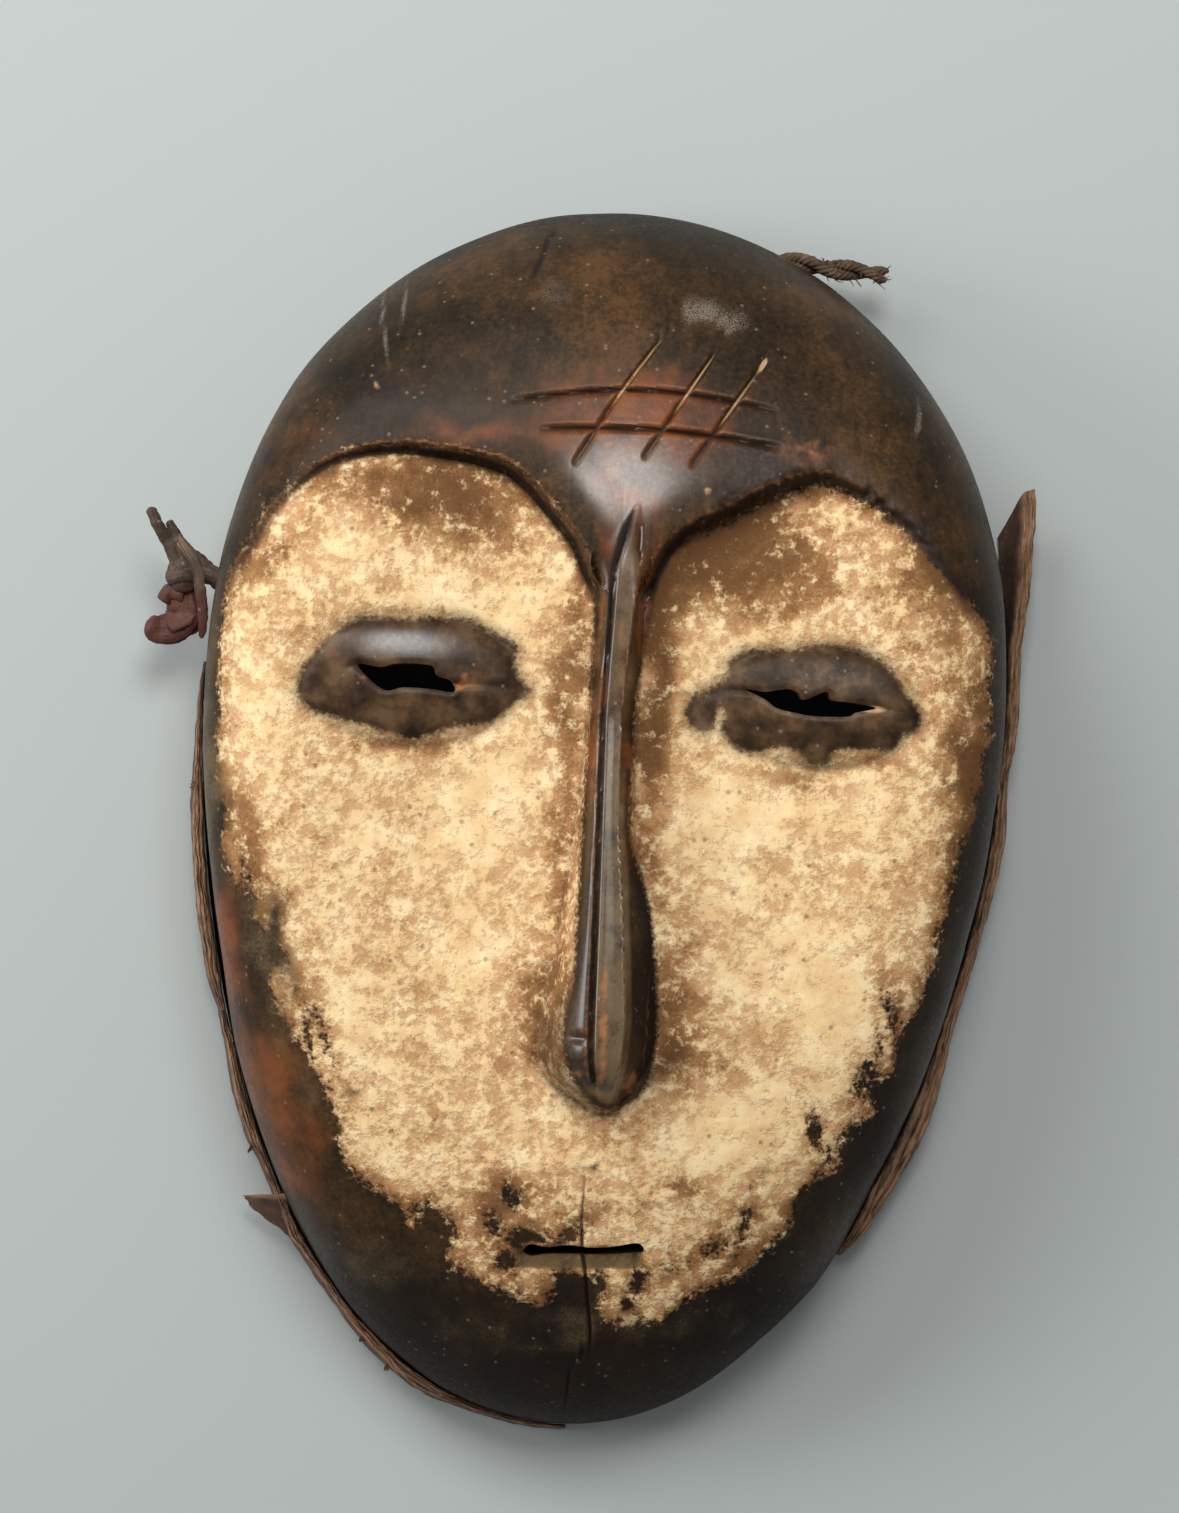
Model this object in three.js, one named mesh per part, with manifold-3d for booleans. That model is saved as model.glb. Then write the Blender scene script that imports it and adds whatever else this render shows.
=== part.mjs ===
// A carved wooden face mask with a heart-shaped whitened face, and the dried
// remains of the hide band and of the ties that were fixed round its rim.
// It lies on its flat rim, face up: +X to the right of the face as it is seen,
// +Y to the forehead, +Z out of the face. Millimetres throughout.

import * as THREE from 'three';
import { mergeVertices } from 'three/addons/utils/BufferGeometryUtils.js';
import Module from 'manifold-3d';

const wasm = await Module();
wasm.setup();

// Rim outline. The height along the mask is v, from -1 at the chin to 1 at the top of
// the forehead, and each list holds the terms of a cubic in v.
const RIM_HALF_LENGTH = 127.3;
const RIM_MIDDLE_Y = -1.8;
const RIM_HALF_WIDTH = [82.5, 12, 6.3, -3.1];
const RIM_LEAN = [-0.1, 1.7, -2.4, 0.9];

// Domed outside. A fuller section has a flatter front and a tighter corner.
const CROWN_HEIGHT = [58, 6, -4, 2];
const CROWN_SIDE_DROP = 5;
const FULLNESS_SIDE = 8;
const FULLNESS_FOREHEAD = 2.6;
const FULLNESS_CHIN = 3.6;
const WALL_FLARE = 0.06;
const WALL_FLARE_FROM = -0.5;
const WALL_FLARE_TO = 0.6;

// Hollow inside
const WALL_THICKNESS = 8;
const FRONT_THICKNESS = 9.5;
const HOLLOW_SQUARENESS = 0.55;
const ROUND_SECTION = 2.2;

// Sunken heart-shaped face
const FACE_DEPTH = 7.5;
const FACE_RUN_OUT = 0.4;
const FACE_MIDDLE_X = 2;
const FACE_DEEP_TO_X = 20;
const FACE_FADES_AT_X = 78;
const FACE_DEEP_FROM_Y = 40;
const FACE_FADES_AT_Y = -95;

// Brow line, from the left temple to the nose root and from there to the right temple
const BROW_LEFT = [
  [-84, 33], [-76, 45], [-68, 59], [-58, 68], [-45, 71.8], [-30, 71],
  [-20, 68.3], [-12, 61], [-6, 54], [-3, 47.5], [2, 41],
];
const BROW_RIGHT = [
  [4, 41], [7.4, 47.5], [9.8, 53.5], [14, 58.2], [21, 62], [30, 67.3], [40, 70.8],
  [49, 68.6], [60, 62], [69, 52], [77, 40], [84, 30],
];

// Long nose, from the forehead down to its tip: the left foot, the two edges of the
// raised strip along its ridge, the right foot, and how far the strip stands out.
const NOSE_STATIONS = [
  { y: 62, foot: [-1, 10], strip: [4.2, 5.1], rise: 6.6 },
  { y: 50, foot: [-4, 8], strip: [1, 6], rise: 6.8 },
  { y: 40, foot: [-2, 7], strip: [0.8, 5], rise: 6.2 },
  { y: 20, foot: [-2.6, 6.8], strip: [0.3, 3.9], rise: 6.4 },
  { y: 0, foot: [-3.6, 7.4], strip: [0.8, 4.5], rise: 8.8 },
  { y: -20, foot: [-5.6, 11.5], strip: [1.2, 6.5], rise: 11.6 },
  { y: -40, foot: [-8.6, 14], strip: [1.5, 8], rise: 14 },
  { y: -48, foot: [-9.6, 13.6], strip: [1.8, 7.5], rise: 14.4 },
  { y: -53.5, foot: [-6.5, 10.5], strip: [3, 6.4], rise: 12.2 },
  { y: -57, foot: [0.5, 8], strip: [3.6, 5.8], rise: 3 },
];
const NOSE_STEPS = 18;
const NOSE_ROOT_DEPTH = 4;
const NOSE_FACET_HOLLOW = 0.14;
const NOSE_RIDGE_CROWN = 0.5;
const NOSE_STEPS_CLOSE_UP = 0.12;
const NOSE_STATION_EASE = 0.5;

// Eyes: low almond mounds with a slit through each
const EYES = [
  {
    centre: [-38.5, 25.4],
    half: [21.8, 12],
    slit: { centre: [-39, 25], half: [10, 2.4], tilt: -7 },
  },
  {
    centre: [42.6, 24.6],
    half: [20.2, 11.2],
    slit: { centre: [42, 24.9], half: [13.5, 2.3], tilt: -6 },
  },
];
const EYE_RISE = 3;
const EYE_SUNK = 4;

// Mouth: a straight slit with a chiselled slope under it
const MOUTH_LEFT = [-9.5, -87.6];
const MOUTH_RIGHT = [14, -86.4];
const MOUTH_HEIGHT = 2.2;
const MOUTH_SLOPE_HEIGHT = 3.4;
const MOUTH_SLOPE_DEPTH = 2.4;

// Crossed cuts in the forehead, each from one end to the other, bowed at its middle
const FOREHEAD_CUTS = [
  { from: [10.3, 99.5], to: [-8.3, 69.5], bow: 0.6 },
  { from: [20, 96], to: [5.5, 71.5], bow: 0 },
  { from: [29, 93], to: [15, 70.5], bow: 0 },
  { from: [29, 84], to: [-19, 83], bow: 2.4 },
  { from: [31, 76], to: [-14, 76], bow: 1.3 },
];
const CUT_WIDTH = 1.5;
const CUT_DEPTH = 0.9;
const CUT_DEPTH_AT_ENDS = 0.35;
const CUT_STEPS = 6;


// Remains of the hide band. Angles run anticlockwise from +X; the gap and the spring
// are measured off the wood, and low and high are heights above the rim's plane.
const HIDE_GAP = 0.45;
const BAND_RIGHT = { from: -40.5, to: 33, thickness: 2.3, low: 1.4, high: 13, ragged: 0.8 };
const BAND_LEFT = { from: 168, to: 199, thickness: 1.4, low: 1.4, high: 12, ragged: 0.8 };
const BAND_CHIN = { from: 200.5, to: 271, thickness: 1.6, low: 1.2, high: 10, ragged: 1.1 };
const BAND_STEP_ANGLE = 2.2;

// Unevenness of the strips: how fast each wave runs, in radians a step, and its size
const GAP_WAVE = { rate: 1.3, size: 0.15 };
const TOP_WAVE = { rate: 1.7, fineRate: 2.9, fineShare: 0.6 };

// Where the right band stands off the wood: its free upper end and a bulge at the jaw
const SPRING = { from: 17, to: 33, reach: 8.6, roundness: 0.8 };
const BULGE = { from: -41, to: -14, reach: 3.8 };

// Torn flap of the chin's strip: it narrows towards its tip and lifts a little
const FLAP = { from: 217.5, to: 222.5, reach: 7, low: 3.5, high: 9 };
const FLAP_TIP_AT = 0.35;
const FLAP_NARROWS_BY = 0.85;
const FLAP_THINS_BY = 0.5;
const FLAP_LIFT = 1.5;

// Ties. Each passes through a hole low in the side wall, and its points run outwards.
const HOLE_RADIUS = 2.9;
const HOLE_SIDES = 10;
const TIE_LEFT_HEIGHT = 17;
const TIE_LEFT_HOLE = [[-70, 41.5], [-79, 43.5], [-88, 46.6]];
const TIE_TOP_HEIGHT = 12;
const TIE_TOP_HOLE = [[18, 106.9], [27.3, 113.8], [32, 116.4], [37, 116.3], [42, 115.6]];

// Left tie: stiff dried thong. Each arm has its points, with the height over the hole,
// and its radii from one end to the other.
const THONG = {
  stem: {
    points: [[-72, 41.9, 0], [-79, 43.5, 0], [-86, 45.8, 0], [-89, 46.5, 0]],
    radii: [1.9, 2.1, 2.2],
  },
  longFinger: {
    points: [[-88.6, 45, 0], [-91, 50, 1], [-94.6, 56.6, 3]],
    radii: [1.9, 1.5, 1.1],
  },
  shortFinger: {
    points: [[-86.4, 45, -1], [-88.2, 50, 0], [-90.4, 54.6, 1]],
    radii: [1.6, 1.3, 0.8],
  },
  curl: {
    points: [
      [-87.8, 45, 0], [-88, 40.4, -2], [-87.4, 35.4, -4],
      [-90.2, 31.9, -3], [-93.8, 32.9, -1], [-93.9, 35.4, 1],
    ],
    radii: [1.8, 2.6, 2.8, 2.4, 1.9, 1.2],
  },
};
const THONG_SIDES = 8;
const KNOT = { centre: [-89, 45.8], radii: [3.2, 4, 3.6], segments: 12, bands: 8 };

// Top tie: two-ply cord with a worn end
const CORD = [
  [20, 108.4, 0], [27.3, 113.8, 0], [32, 116.4, 0], [37, 116.3, 0],
  [42, 115.6, 0], [48, 115.6, 0], [54, 114.8, 1],
];
const CORD_THICKNESS = 4.4;
const CORD_TURNS = 1.7;
const CORD_STEPS = 22;
const CORD_SIDES = 10;
const CORD_WAIST = 0.22;
const CORD_END = { from: 0.85, thinner: 0.45 };

const WOOD = { color: 0x4a2f20, roughness: 0.5, metalness: 0 };
const HIDE = { color: 0x6b4a33, roughness: 0.85, metalness: 0 };
const DARK_HIDE = { color: 0x5a2f20, roughness: 0.6, metalness: 0 };
const FIBRE = { color: 0x75563a, roughness: 0.95, metalness: 0 };

const { lerp, smoothstep, degToRad } = THREE.MathUtils;

// Turns a list of polynomial terms into its value at v
function polynomial(terms, v) {
  return terms.reduceRight((sum, term) => sum * v + term, 0);
}

// Point of the plan for a place (a, b) in the unit disc, whose edge is the rim
function planPoint(a, b, inset) {
  const halfWidth = polynomial(RIM_HALF_WIDTH, b) - inset;
  const lean = polynomial(RIM_LEAN, b) * Math.sqrt(Math.max(0, 1 - b * b));
  return [a * halfWidth + lean, RIM_MIDDLE_Y + b * (RIM_HALF_LENGTH - inset)];
}

// Place in the unit disc of a point of the plan
function discPoint(x, y) {
  const b = (y - RIM_MIDDLE_Y) / RIM_HALF_LENGTH;
  const lean = polynomial(RIM_LEAN, b) * Math.sqrt(Math.max(0, 1 - b * b));
  return [(x - lean) / polynomial(RIM_HALF_WIDTH, b), b];
}

// How square the section is towards a direction whose sine is b
function fullness(b) {
  const end = b > 0 ? FULLNESS_FOREHEAD : FULLNESS_CHIN;
  return lerp(end, FULLNESS_SIDE, (1 - b * b) ** 2);
}

function flare(b) {
  return WALL_FLARE * (1 - smoothstep(b, WALL_FLARE_FROM, WALL_FLARE_TO));
}

function crownHeight(x, y) {
  const v = (y - RIM_MIDDLE_Y) / RIM_HALF_LENGTH;
  const across = x / RIM_HALF_WIDTH[0];
  return polynomial(CROWN_HEIGHT, v) - CROWN_SIDE_DROP * across * across;
}

// Depth of the heart-shaped face below the dome
function faceDepth(x, y) {
  const across = 1 - smoothstep(Math.abs(x - FACE_MIDDLE_X), FACE_DEEP_TO_X, FACE_FADES_AT_X);
  const along = smoothstep(y, FACE_FADES_AT_Y, FACE_DEEP_FROM_Y);
  return FACE_DEPTH * across * along;
}

// Height of the dome over a point of the plan. The flare shifts the place in the disc
// a little with height, so it is found in a few rounds.
function domeHeight(x, y) {
  const [a, b] = discPoint(x, y);
  const radius = Math.hypot(a, b);
  const sine = radius > 0 ? b / radius : 0;
  const n = fullness(sine);
  let share = 1;
  for (let round = 0; round < 4; round += 1) {
    const reach = Math.min(1, radius / (1 - flare(sine) * share));
    share = (1 - reach ** n) ** (1 / n);
  }
  return share * crownHeight(x, y);
}

// Height of the sunken face over a point of the plan
function faceHeight(x, y) {
  return domeHeight(x, y) + FACE_RUN_OUT - faceDepth(x, y);
}

// Rounded section from the middle (t = 0) over the corner to the rim (t = 1), as the
// distance from the middle and the height, both as shares of the whole
const CORNER_AT = 0.6;
function sectionPoint(t, n) {
  const corner = 2 ** (-1 / n);
  if (t < CORNER_AT) {
    const reach = corner * t / CORNER_AT;
    return [reach, (1 - reach ** n) ** (1 / n)];
  }
  const share = corner * (1 - t) / (1 - CORNER_AT);
  return [(1 - share ** n) ** (1 / n), share];
}

// Point of the outside or of the hollow, which has a softer corner
const OUTSIDE = { inset: 0, drop: 0, squareness: 1 };
const HOLLOW = { inset: WALL_THICKNESS, drop: FRONT_THICKNESS, squareness: HOLLOW_SQUARENESS };
function shellPoint(t, angle, { inset, drop, squareness }) {
  const b = Math.sin(angle);
  const [reach, share] = sectionPoint(t, lerp(ROUND_SECTION, fullness(b), squareness));
  const radius = reach * (1 - flare(b) * share);
  const [x, y] = planPoint(radius * Math.cos(angle), radius * b, inset);
  return [x, y, share * (crownHeight(x, y) - drop)];
}

// Makes a closed mesh from a top point, rings of points from the top down, each running
// anticlockwise as seen from above, and a bottom point
function ringGeometry(top, rings, bottom) {
  const count = rings[0].length;
  const positions = [top, ...rings.flat(), bottom].flat();
  const last = rings.length * count + 1;
  const at = (ring, k) => 1 + ring * count + (k % count);
  const index = [];
  for (let k = 0; k < count; k += 1) {
    index.push(0, at(0, k), at(0, k + 1));
    index.push(last, at(rings.length - 1, k + 1), at(rings.length - 1, k));
    for (let ring = 0; ring + 1 < rings.length; ring += 1) {
      index.push(at(ring, k), at(ring + 1, k), at(ring + 1, k + 1));
      index.push(at(ring, k), at(ring + 1, k + 1), at(ring, k + 1));
    }
  }
  const geometry = new THREE.BufferGeometry();
  geometry.setAttribute('position', new THREE.Float32BufferAttribute(positions, 3));
  geometry.setIndex(index);
  return geometry;
}

// Joins sections, each a ring of points round the way they follow, with flat-fanned ends
function loftGeometry(sections) {
  const middle = (ring) => {
    const sum = ring.reduce((total, p) => total.map((value, axis) => value + p[axis]), [0, 0, 0]);
    return sum.map((value) => value / ring.length);
  };
  return ringGeometry(middle(sections[0]), sections, middle(sections.at(-1)));
}

function solidOf(geometry) {
  const bare = geometry.clone();
  bare.deleteAttribute('normal');
  bare.deleteAttribute('uv');
  const merged = mergeVertices(bare, 1e-4);
  return new wasm.Manifold(new wasm.Mesh({
    numProp: 3,
    vertProperties: new Float32Array(merged.attributes.position.array),
    triVerts: new Uint32Array(merged.index.array),
  }));
}

function geometryOf(solid) {
  const mesh = solid.getMesh();
  const geometry = new THREE.BufferGeometry();
  geometry.setAttribute('position', new THREE.BufferAttribute(mesh.vertProperties, 3));
  geometry.setIndex(new THREE.BufferAttribute(mesh.triVerts, 1));
  geometry.computeVertexNormals();
  return geometry;
}

function angles(count) {
  return Array.from({ length: count }, (_, k) => (2 * Math.PI * k) / count);
}

// Outside of the mask, down to its flat rim
const OUTSIDE_SECTORS = 72;
const OUTSIDE_RINGS = 18;
function outsideSolid() {
  const turns = angles(OUTSIDE_SECTORS);
  const rings = [];
  for (let ring = 1; ring <= OUTSIDE_RINGS; ring += 1) {
    rings.push(turns.map((angle) => shellPoint(ring / OUTSIDE_RINGS, angle, OUTSIDE)));
  }
  const [x, y, z] = shellPoint(0, 0, OUTSIDE);
  return solidOf(ringGeometry([x, y, z], rings, [x, y, 0]));
}

// Hollow, which runs out below the rim
const HOLLOW_SECTORS = 48;
const HOLLOW_RINGS = 11;
const HOLLOW_RUNS_TO = -4;
function hollowSolid() {
  const turns = angles(HOLLOW_SECTORS);
  const point = (t, angle) => {
    const [x, y, z] = shellPoint(t, angle, HOLLOW);
    return [x, y, z - faceDepth(x, y) * (1 - t)];
  };
  const rings = [];
  for (let ring = 1; ring <= HOLLOW_RINGS; ring += 1) {
    rings.push(turns.map((angle) => point(ring / HOLLOW_RINGS, angle)));
  }
  rings.push(rings.at(-1).map(([x, y]) => [x, y, HOLLOW_RUNS_TO]));
  const [x, y, z] = point(0, 0);
  return solidOf(ringGeometry([x, y, z], rings, [x, y, HOLLOW_RUNS_TO]));
}

// What is carved away over the sunken face: a block over the face's surface, inside the
// brow line. The block reaches down over this share of the outside's section.
const FACE_RINGS_TO = 0.78;
const CARVING_TOP = 90;
const PRISM_BOTTOM = -10;
const PRISM_TOP = 110;
const FAR_OUT = 110;
const BROW_DIVISIONS = 3;
function faceCarving() {
  const turns = angles(OUTSIDE_SECTORS);
  const rings = [];
  for (let ring = 1; ring <= OUTSIDE_RINGS * FACE_RINGS_TO; ring += 1) {
    rings.unshift(turns.map((angle) => {
      const [x, y, z] = shellPoint(ring / OUTSIDE_RINGS, angle, OUTSIDE);
      return [x, y, z + FACE_RUN_OUT - faceDepth(x, y)];
    }));
  }
  rings.unshift(rings[0].map(([x, y]) => [x, y, CARVING_TOP]));
  const [x, y, z] = shellPoint(0, 0, OUTSIDE);
  const block = ringGeometry([x, y, CARVING_TOP], rings, [x, y, z + FACE_RUN_OUT - faceDepth(x, y)]);

  const brow = new THREE.Shape();
  brow.moveTo(...BROW_LEFT[0]);
  brow.splineThru(BROW_LEFT.slice(1).map((p) => new THREE.Vector2(...p)));
  brow.lineTo(...BROW_RIGHT[0]);
  brow.splineThru(BROW_RIGHT.slice(1).map((p) => new THREE.Vector2(...p)));
  brow.lineTo(FAR_OUT, BROW_RIGHT.at(-1)[1]);
  brow.lineTo(FAR_OUT, -2 * FAR_OUT);
  brow.lineTo(-FAR_OUT, -2 * FAR_OUT);
  brow.lineTo(-FAR_OUT, BROW_LEFT[0][1]);
  brow.closePath();
  const prism = new THREE.ExtrudeGeometry(brow, {
    depth: PRISM_TOP - PRISM_BOTTOM, bevelEnabled: false, steps: 1, curveSegments: BROW_DIVISIONS,
  });
  prism.translate(0, 0, PRISM_BOTTOM);
  return solidOf(block).intersect(solidOf(prism));
}

// Values of the nose at a height, between the stations on either side of it
function noseAt(y) {
  const below = NOSE_STATIONS.findIndex((station, k) => k > 0 && station.y <= y);
  const next = NOSE_STATIONS[below < 0 ? NOSE_STATIONS.length - 1 : below];
  const previous = NOSE_STATIONS[NOSE_STATIONS.indexOf(next) - 1];
  const share = (previous.y - y) / (previous.y - next.y);
  const eased = lerp(share, smoothstep(share, 0, 1), NOSE_STATION_EASE);
  const pair = (key) => previous[key].map((value, side) => lerp(value, next[key][side], eased));
  return { foot: pair('foot'), strip: pair('strip'), rise: lerp(previous.rise, next.rise, eased) };
}

function noseSolid() {
  const first = NOSE_STATIONS[0].y;
  const last = NOSE_STATIONS.at(-1).y;
  const sections = [];
  for (let step = 0; step <= NOSE_STEPS; step += 1) {
    const share = step / NOSE_STEPS;
    const y = lerp(first, last, share + NOSE_STEPS_CLOSE_UP * Math.sin(Math.PI * share));
    const { foot, strip, rise } = noseAt(y);
    const base = foot.map((x) => faceHeight(x, y));
    const middle = (strip[0] + strip[1]) / 2;
    const ridge = faceHeight(middle, y) + rise;
    const facet = (side) => {
      const height = lerp(base[side], ridge, 0.5) - NOSE_FACET_HOLLOW * rise;
      return [lerp(foot[side], strip[side], 0.5), y, height];
    };
    sections.push([
      [foot[0], y, base[0] - NOSE_ROOT_DEPTH],
      [foot[0], y, base[0]],
      facet(0),
      [strip[0], y, ridge],
      [middle, y, ridge + NOSE_RIDGE_CROWN],
      [strip[1], y, ridge],
      facet(1),
      [foot[1], y, base[1]],
      [foot[1], y, base[1] - NOSE_ROOT_DEPTH],
      [middle, y, Math.min(...base) - NOSE_ROOT_DEPTH],
    ]);
  }
  return solidOf(loftGeometry(sections));
}

// Low almond mound of one eye
const EYE_SEGMENTS = 24;
const EYE_BANDS = 12;
function eyeMound({ centre, half }) {
  const depth = EYE_RISE + EYE_SUNK;
  const shown = Math.sqrt(1 - (EYE_SUNK / depth) ** 2);
  const mound = new THREE.SphereGeometry(1, EYE_SEGMENTS, EYE_BANDS);
  mound.rotateX(Math.PI / 2);
  mound.scale(half[0] / shown, half[1] / shown, depth);
  mound.translate(centre[0], centre[1], faceHeight(...centre) - EYE_SUNK);
  return solidOf(mound);
}

// Upright cutter of an almond or a slot, from inside the hollow out through the front
const SLIT_BOTTOM = 20;
const SLIT_TOP = 75;
function uprightCutter(shape, centre, tilt, segments) {
  const cutter = new THREE.ExtrudeGeometry(shape, {
    depth: SLIT_TOP - SLIT_BOTTOM, bevelEnabled: false, steps: 1, curveSegments: segments,
  });
  cutter.rotateZ(tilt);
  cutter.translate(centre[0], centre[1], SLIT_BOTTOM);
  return solidOf(cutter);
}

function eyeSlit({ slit }) {
  const [length, height] = slit.half;
  const almond = new THREE.Shape();
  almond.moveTo(-length, 0);
  almond.quadraticCurveTo(0, -2 * height, length, 0);
  almond.quadraticCurveTo(0, 2 * height, -length, 0);
  return uprightCutter(almond, slit.centre, degToRad(slit.tilt), 6);
}

function mouthSlit() {
  const run = Math.hypot(MOUTH_RIGHT[0] - MOUTH_LEFT[0], MOUTH_RIGHT[1] - MOUTH_LEFT[1]);
  const half = (run - MOUTH_HEIGHT) / 2;
  const radius = MOUTH_HEIGHT / 2;
  const slot = new THREE.Shape();
  slot.absarc(half, 0, radius, -Math.PI / 2, Math.PI / 2, false);
  slot.absarc(-half, 0, radius, Math.PI / 2, 1.5 * Math.PI, false);
  slot.closePath();
  const tilt = Math.atan2(MOUTH_RIGHT[1] - MOUTH_LEFT[1], run);
  const centre = [(MOUTH_LEFT[0] + MOUTH_RIGHT[0]) / 2, (MOUTH_LEFT[1] + MOUTH_RIGHT[1]) / 2];
  return uprightCutter(slot, centre, tilt, 5);
}

// Chiselled slope under the mouth: a wedge that is deepest at the slit
const SLOPE_CLEARANCE = 6;
function mouthSlope() {
  const wedge = new THREE.Shape();
  wedge.moveTo(0, SLOPE_CLEARANCE);
  wedge.lineTo(0, -MOUTH_SLOPE_DEPTH);
  wedge.lineTo(-MOUTH_SLOPE_HEIGHT, 0);
  wedge.lineTo(-MOUTH_SLOPE_HEIGHT - SLOPE_CLEARANCE, SLOPE_CLEARANCE);
  wedge.closePath();
  const cutter = new THREE.ExtrudeGeometry(wedge, {
    depth: MOUTH_RIGHT[0] - MOUTH_LEFT[0], bevelEnabled: false, steps: 1,
  });
  cutter.rotateX(Math.PI / 2);
  cutter.rotateZ(Math.PI / 2);
  const y = (MOUTH_LEFT[1] + MOUTH_RIGHT[1]) / 2;
  cutter.translate(MOUTH_LEFT[0], y, faceHeight(0, y));
  return solidOf(cutter);
}

// V-shaped cutter that follows the forehead from one point to another
function foreheadCut({ from, to, bow }) {
  const length = Math.hypot(to[0] - from[0], to[1] - from[1]);
  const side = [-(to[1] - from[1]) / length, (to[0] - from[0]) / length];
  const sections = [];
  for (let step = 0; step <= CUT_STEPS; step += 1) {
    const share = step / CUT_STEPS;
    const arch = Math.sin(Math.PI * share);
    const x = lerp(from[0], to[0], share) - side[0] * bow * arch;
    const y = lerp(from[1], to[1], share) - side[1] * bow * arch;
    const z = domeHeight(x, y);
    const taper = lerp(CUT_DEPTH_AT_ENDS, 1, Math.sqrt(arch));
    sections.push([
      [x + side[0] * CUT_WIDTH, y + side[1] * CUT_WIDTH, z + CUT_DEPTH],
      [x, y, z - CUT_DEPTH * taper],
      [x - side[0] * CUT_WIDTH, y - side[1] * CUT_WIDTH, z + CUT_DEPTH],
    ]);
  }
  return solidOf(loftGeometry(sections));
}

// Point at a height on the side wall, moved off the wood by a distance in plan
const NORMAL_STEP = 0.01;
function wallPoint(angle, z, off) {
  const n = fullness(Math.sin(angle));
  const place = (turn) => {
    const b = Math.sin(turn);
    const [x, y] = planPoint(Math.cos(turn), b, 0);
    const share = Math.min(1, z / crownHeight(x, y));
    const radius = (1 - share ** n) ** (1 / n) * (1 - flare(b) * share);
    return planPoint(radius * Math.cos(turn), radius * b, 0);
  };
  const [x, y] = place(angle);
  const [x0, y0] = place(angle - NORMAL_STEP);
  const [x1, y1] = place(angle + NORMAL_STEP);
  const run = Math.hypot(x1 - x0, y1 - y0);
  return [x + (off * (y1 - y0)) / run, y - (off * (x1 - x0)) / run, z];
}

// Tube along points, whose radius is a function of the share of the way and of the angle
// round it
function tubeSolid(points, steps, sides, radiusAt) {
  const way = new THREE.CatmullRomCurve3(points.map((p) => new THREE.Vector3(...p)));
  const sections = [];
  for (let step = 0; step <= steps; step += 1) {
    const share = step / steps;
    const centre = way.getPoint(share);
    const along = way.getTangent(share);
    const across = new THREE.Vector3(-along.y, along.x, 0).normalize();
    const up = new THREE.Vector3().crossVectors(along, across);
    sections.push(angles(sides).map((angle) => {
      const radius = radiusAt(share, angle);
      const offset = across.clone().multiplyScalar(-Math.cos(angle) * radius);
      offset.addScaledVector(up, Math.sin(angle) * radius);
      return centre.clone().add(offset).toArray();
    }));
  }
  return solidOf(loftGeometry(sections));
}

// Raises points that are given from the height of a hole
function raised(points, height) {
  return points.map(([x, y, over = 0]) => [x, y, height + over]);
}

// Hole in the wall that a tie passes through
const STEPS_BETWEEN_POINTS = 3;
function tieHole(points, height) {
  const steps = (points.length - 1) * STEPS_BETWEEN_POINTS;
  return tubeSolid(raised(points, height), steps, HOLE_SIDES, () => HOLE_RADIUS);
}

function maskSolid() {
  let mask = outsideSolid().subtract(faceCarving());
  mask = mask.add(noseSolid());
  for (const eye of EYES) {
    mask = mask.add(eyeMound(eye));
  }
  mask = mask.subtract(hollowSolid());
  for (const eye of EYES) {
    mask = mask.subtract(eyeSlit(eye));
  }
  mask = mask.subtract(mouthSlit()).subtract(mouthSlope());
  for (const cut of FOREHEAD_CUTS) {
    mask = mask.subtract(foreheadCut(cut));
  }
  mask = mask.subtract(tieHole(TIE_LEFT_HOLE, TIE_LEFT_HEIGHT));
  return mask.subtract(tieHole(TIE_TOP_HOLE, TIE_TOP_HEIGHT));
}

// How far the hide stands off the wood at an angle in degrees
function standOff(degrees) {
  const freed = smoothstep(degrees, SPRING.from, SPRING.to) ** SPRING.roundness;
  const across = (degrees - BULGE.from) / (BULGE.to - BULGE.from);
  const bulge = across > 0 && across < 1 ? BULGE.reach * Math.sin(Math.PI * across) ** 2 : 0;
  return degrees < 90 ? SPRING.reach * freed + bulge : 0;
}

// Strip of stiff hide that stands round the side wall on its edge
function bandSolid({ from, to, thickness, low, high, ragged }) {
  const steps = Math.round((to - from) / BAND_STEP_ANGLE);
  const sections = [];
  for (let step = 0; step <= steps; step += 1) {
    const degrees = lerp(from, to, step / steps);
    const angle = degToRad(degrees);
    const wave = GAP_WAVE.size * (1 + Math.sin(step * GAP_WAVE.rate));
    const inner = HIDE_GAP + standOff(degrees) + wave;
    const fine = TOP_WAVE.fineShare * Math.sin(step * TOP_WAVE.fineRate + 1);
    const top = high + ragged * (Math.sin(step * TOP_WAVE.rate) + fine);
    const middle = (low + top) / 2;
    sections.push([
      wallPoint(angle, low, inner),
      wallPoint(angle, low, inner + thickness),
      wallPoint(angle, middle, inner + thickness),
      wallPoint(angle, top, inner + thickness),
      wallPoint(angle, top, inner),
      wallPoint(angle, middle, inner),
    ]);
  }
  return solidOf(loftGeometry(sections));
}

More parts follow.
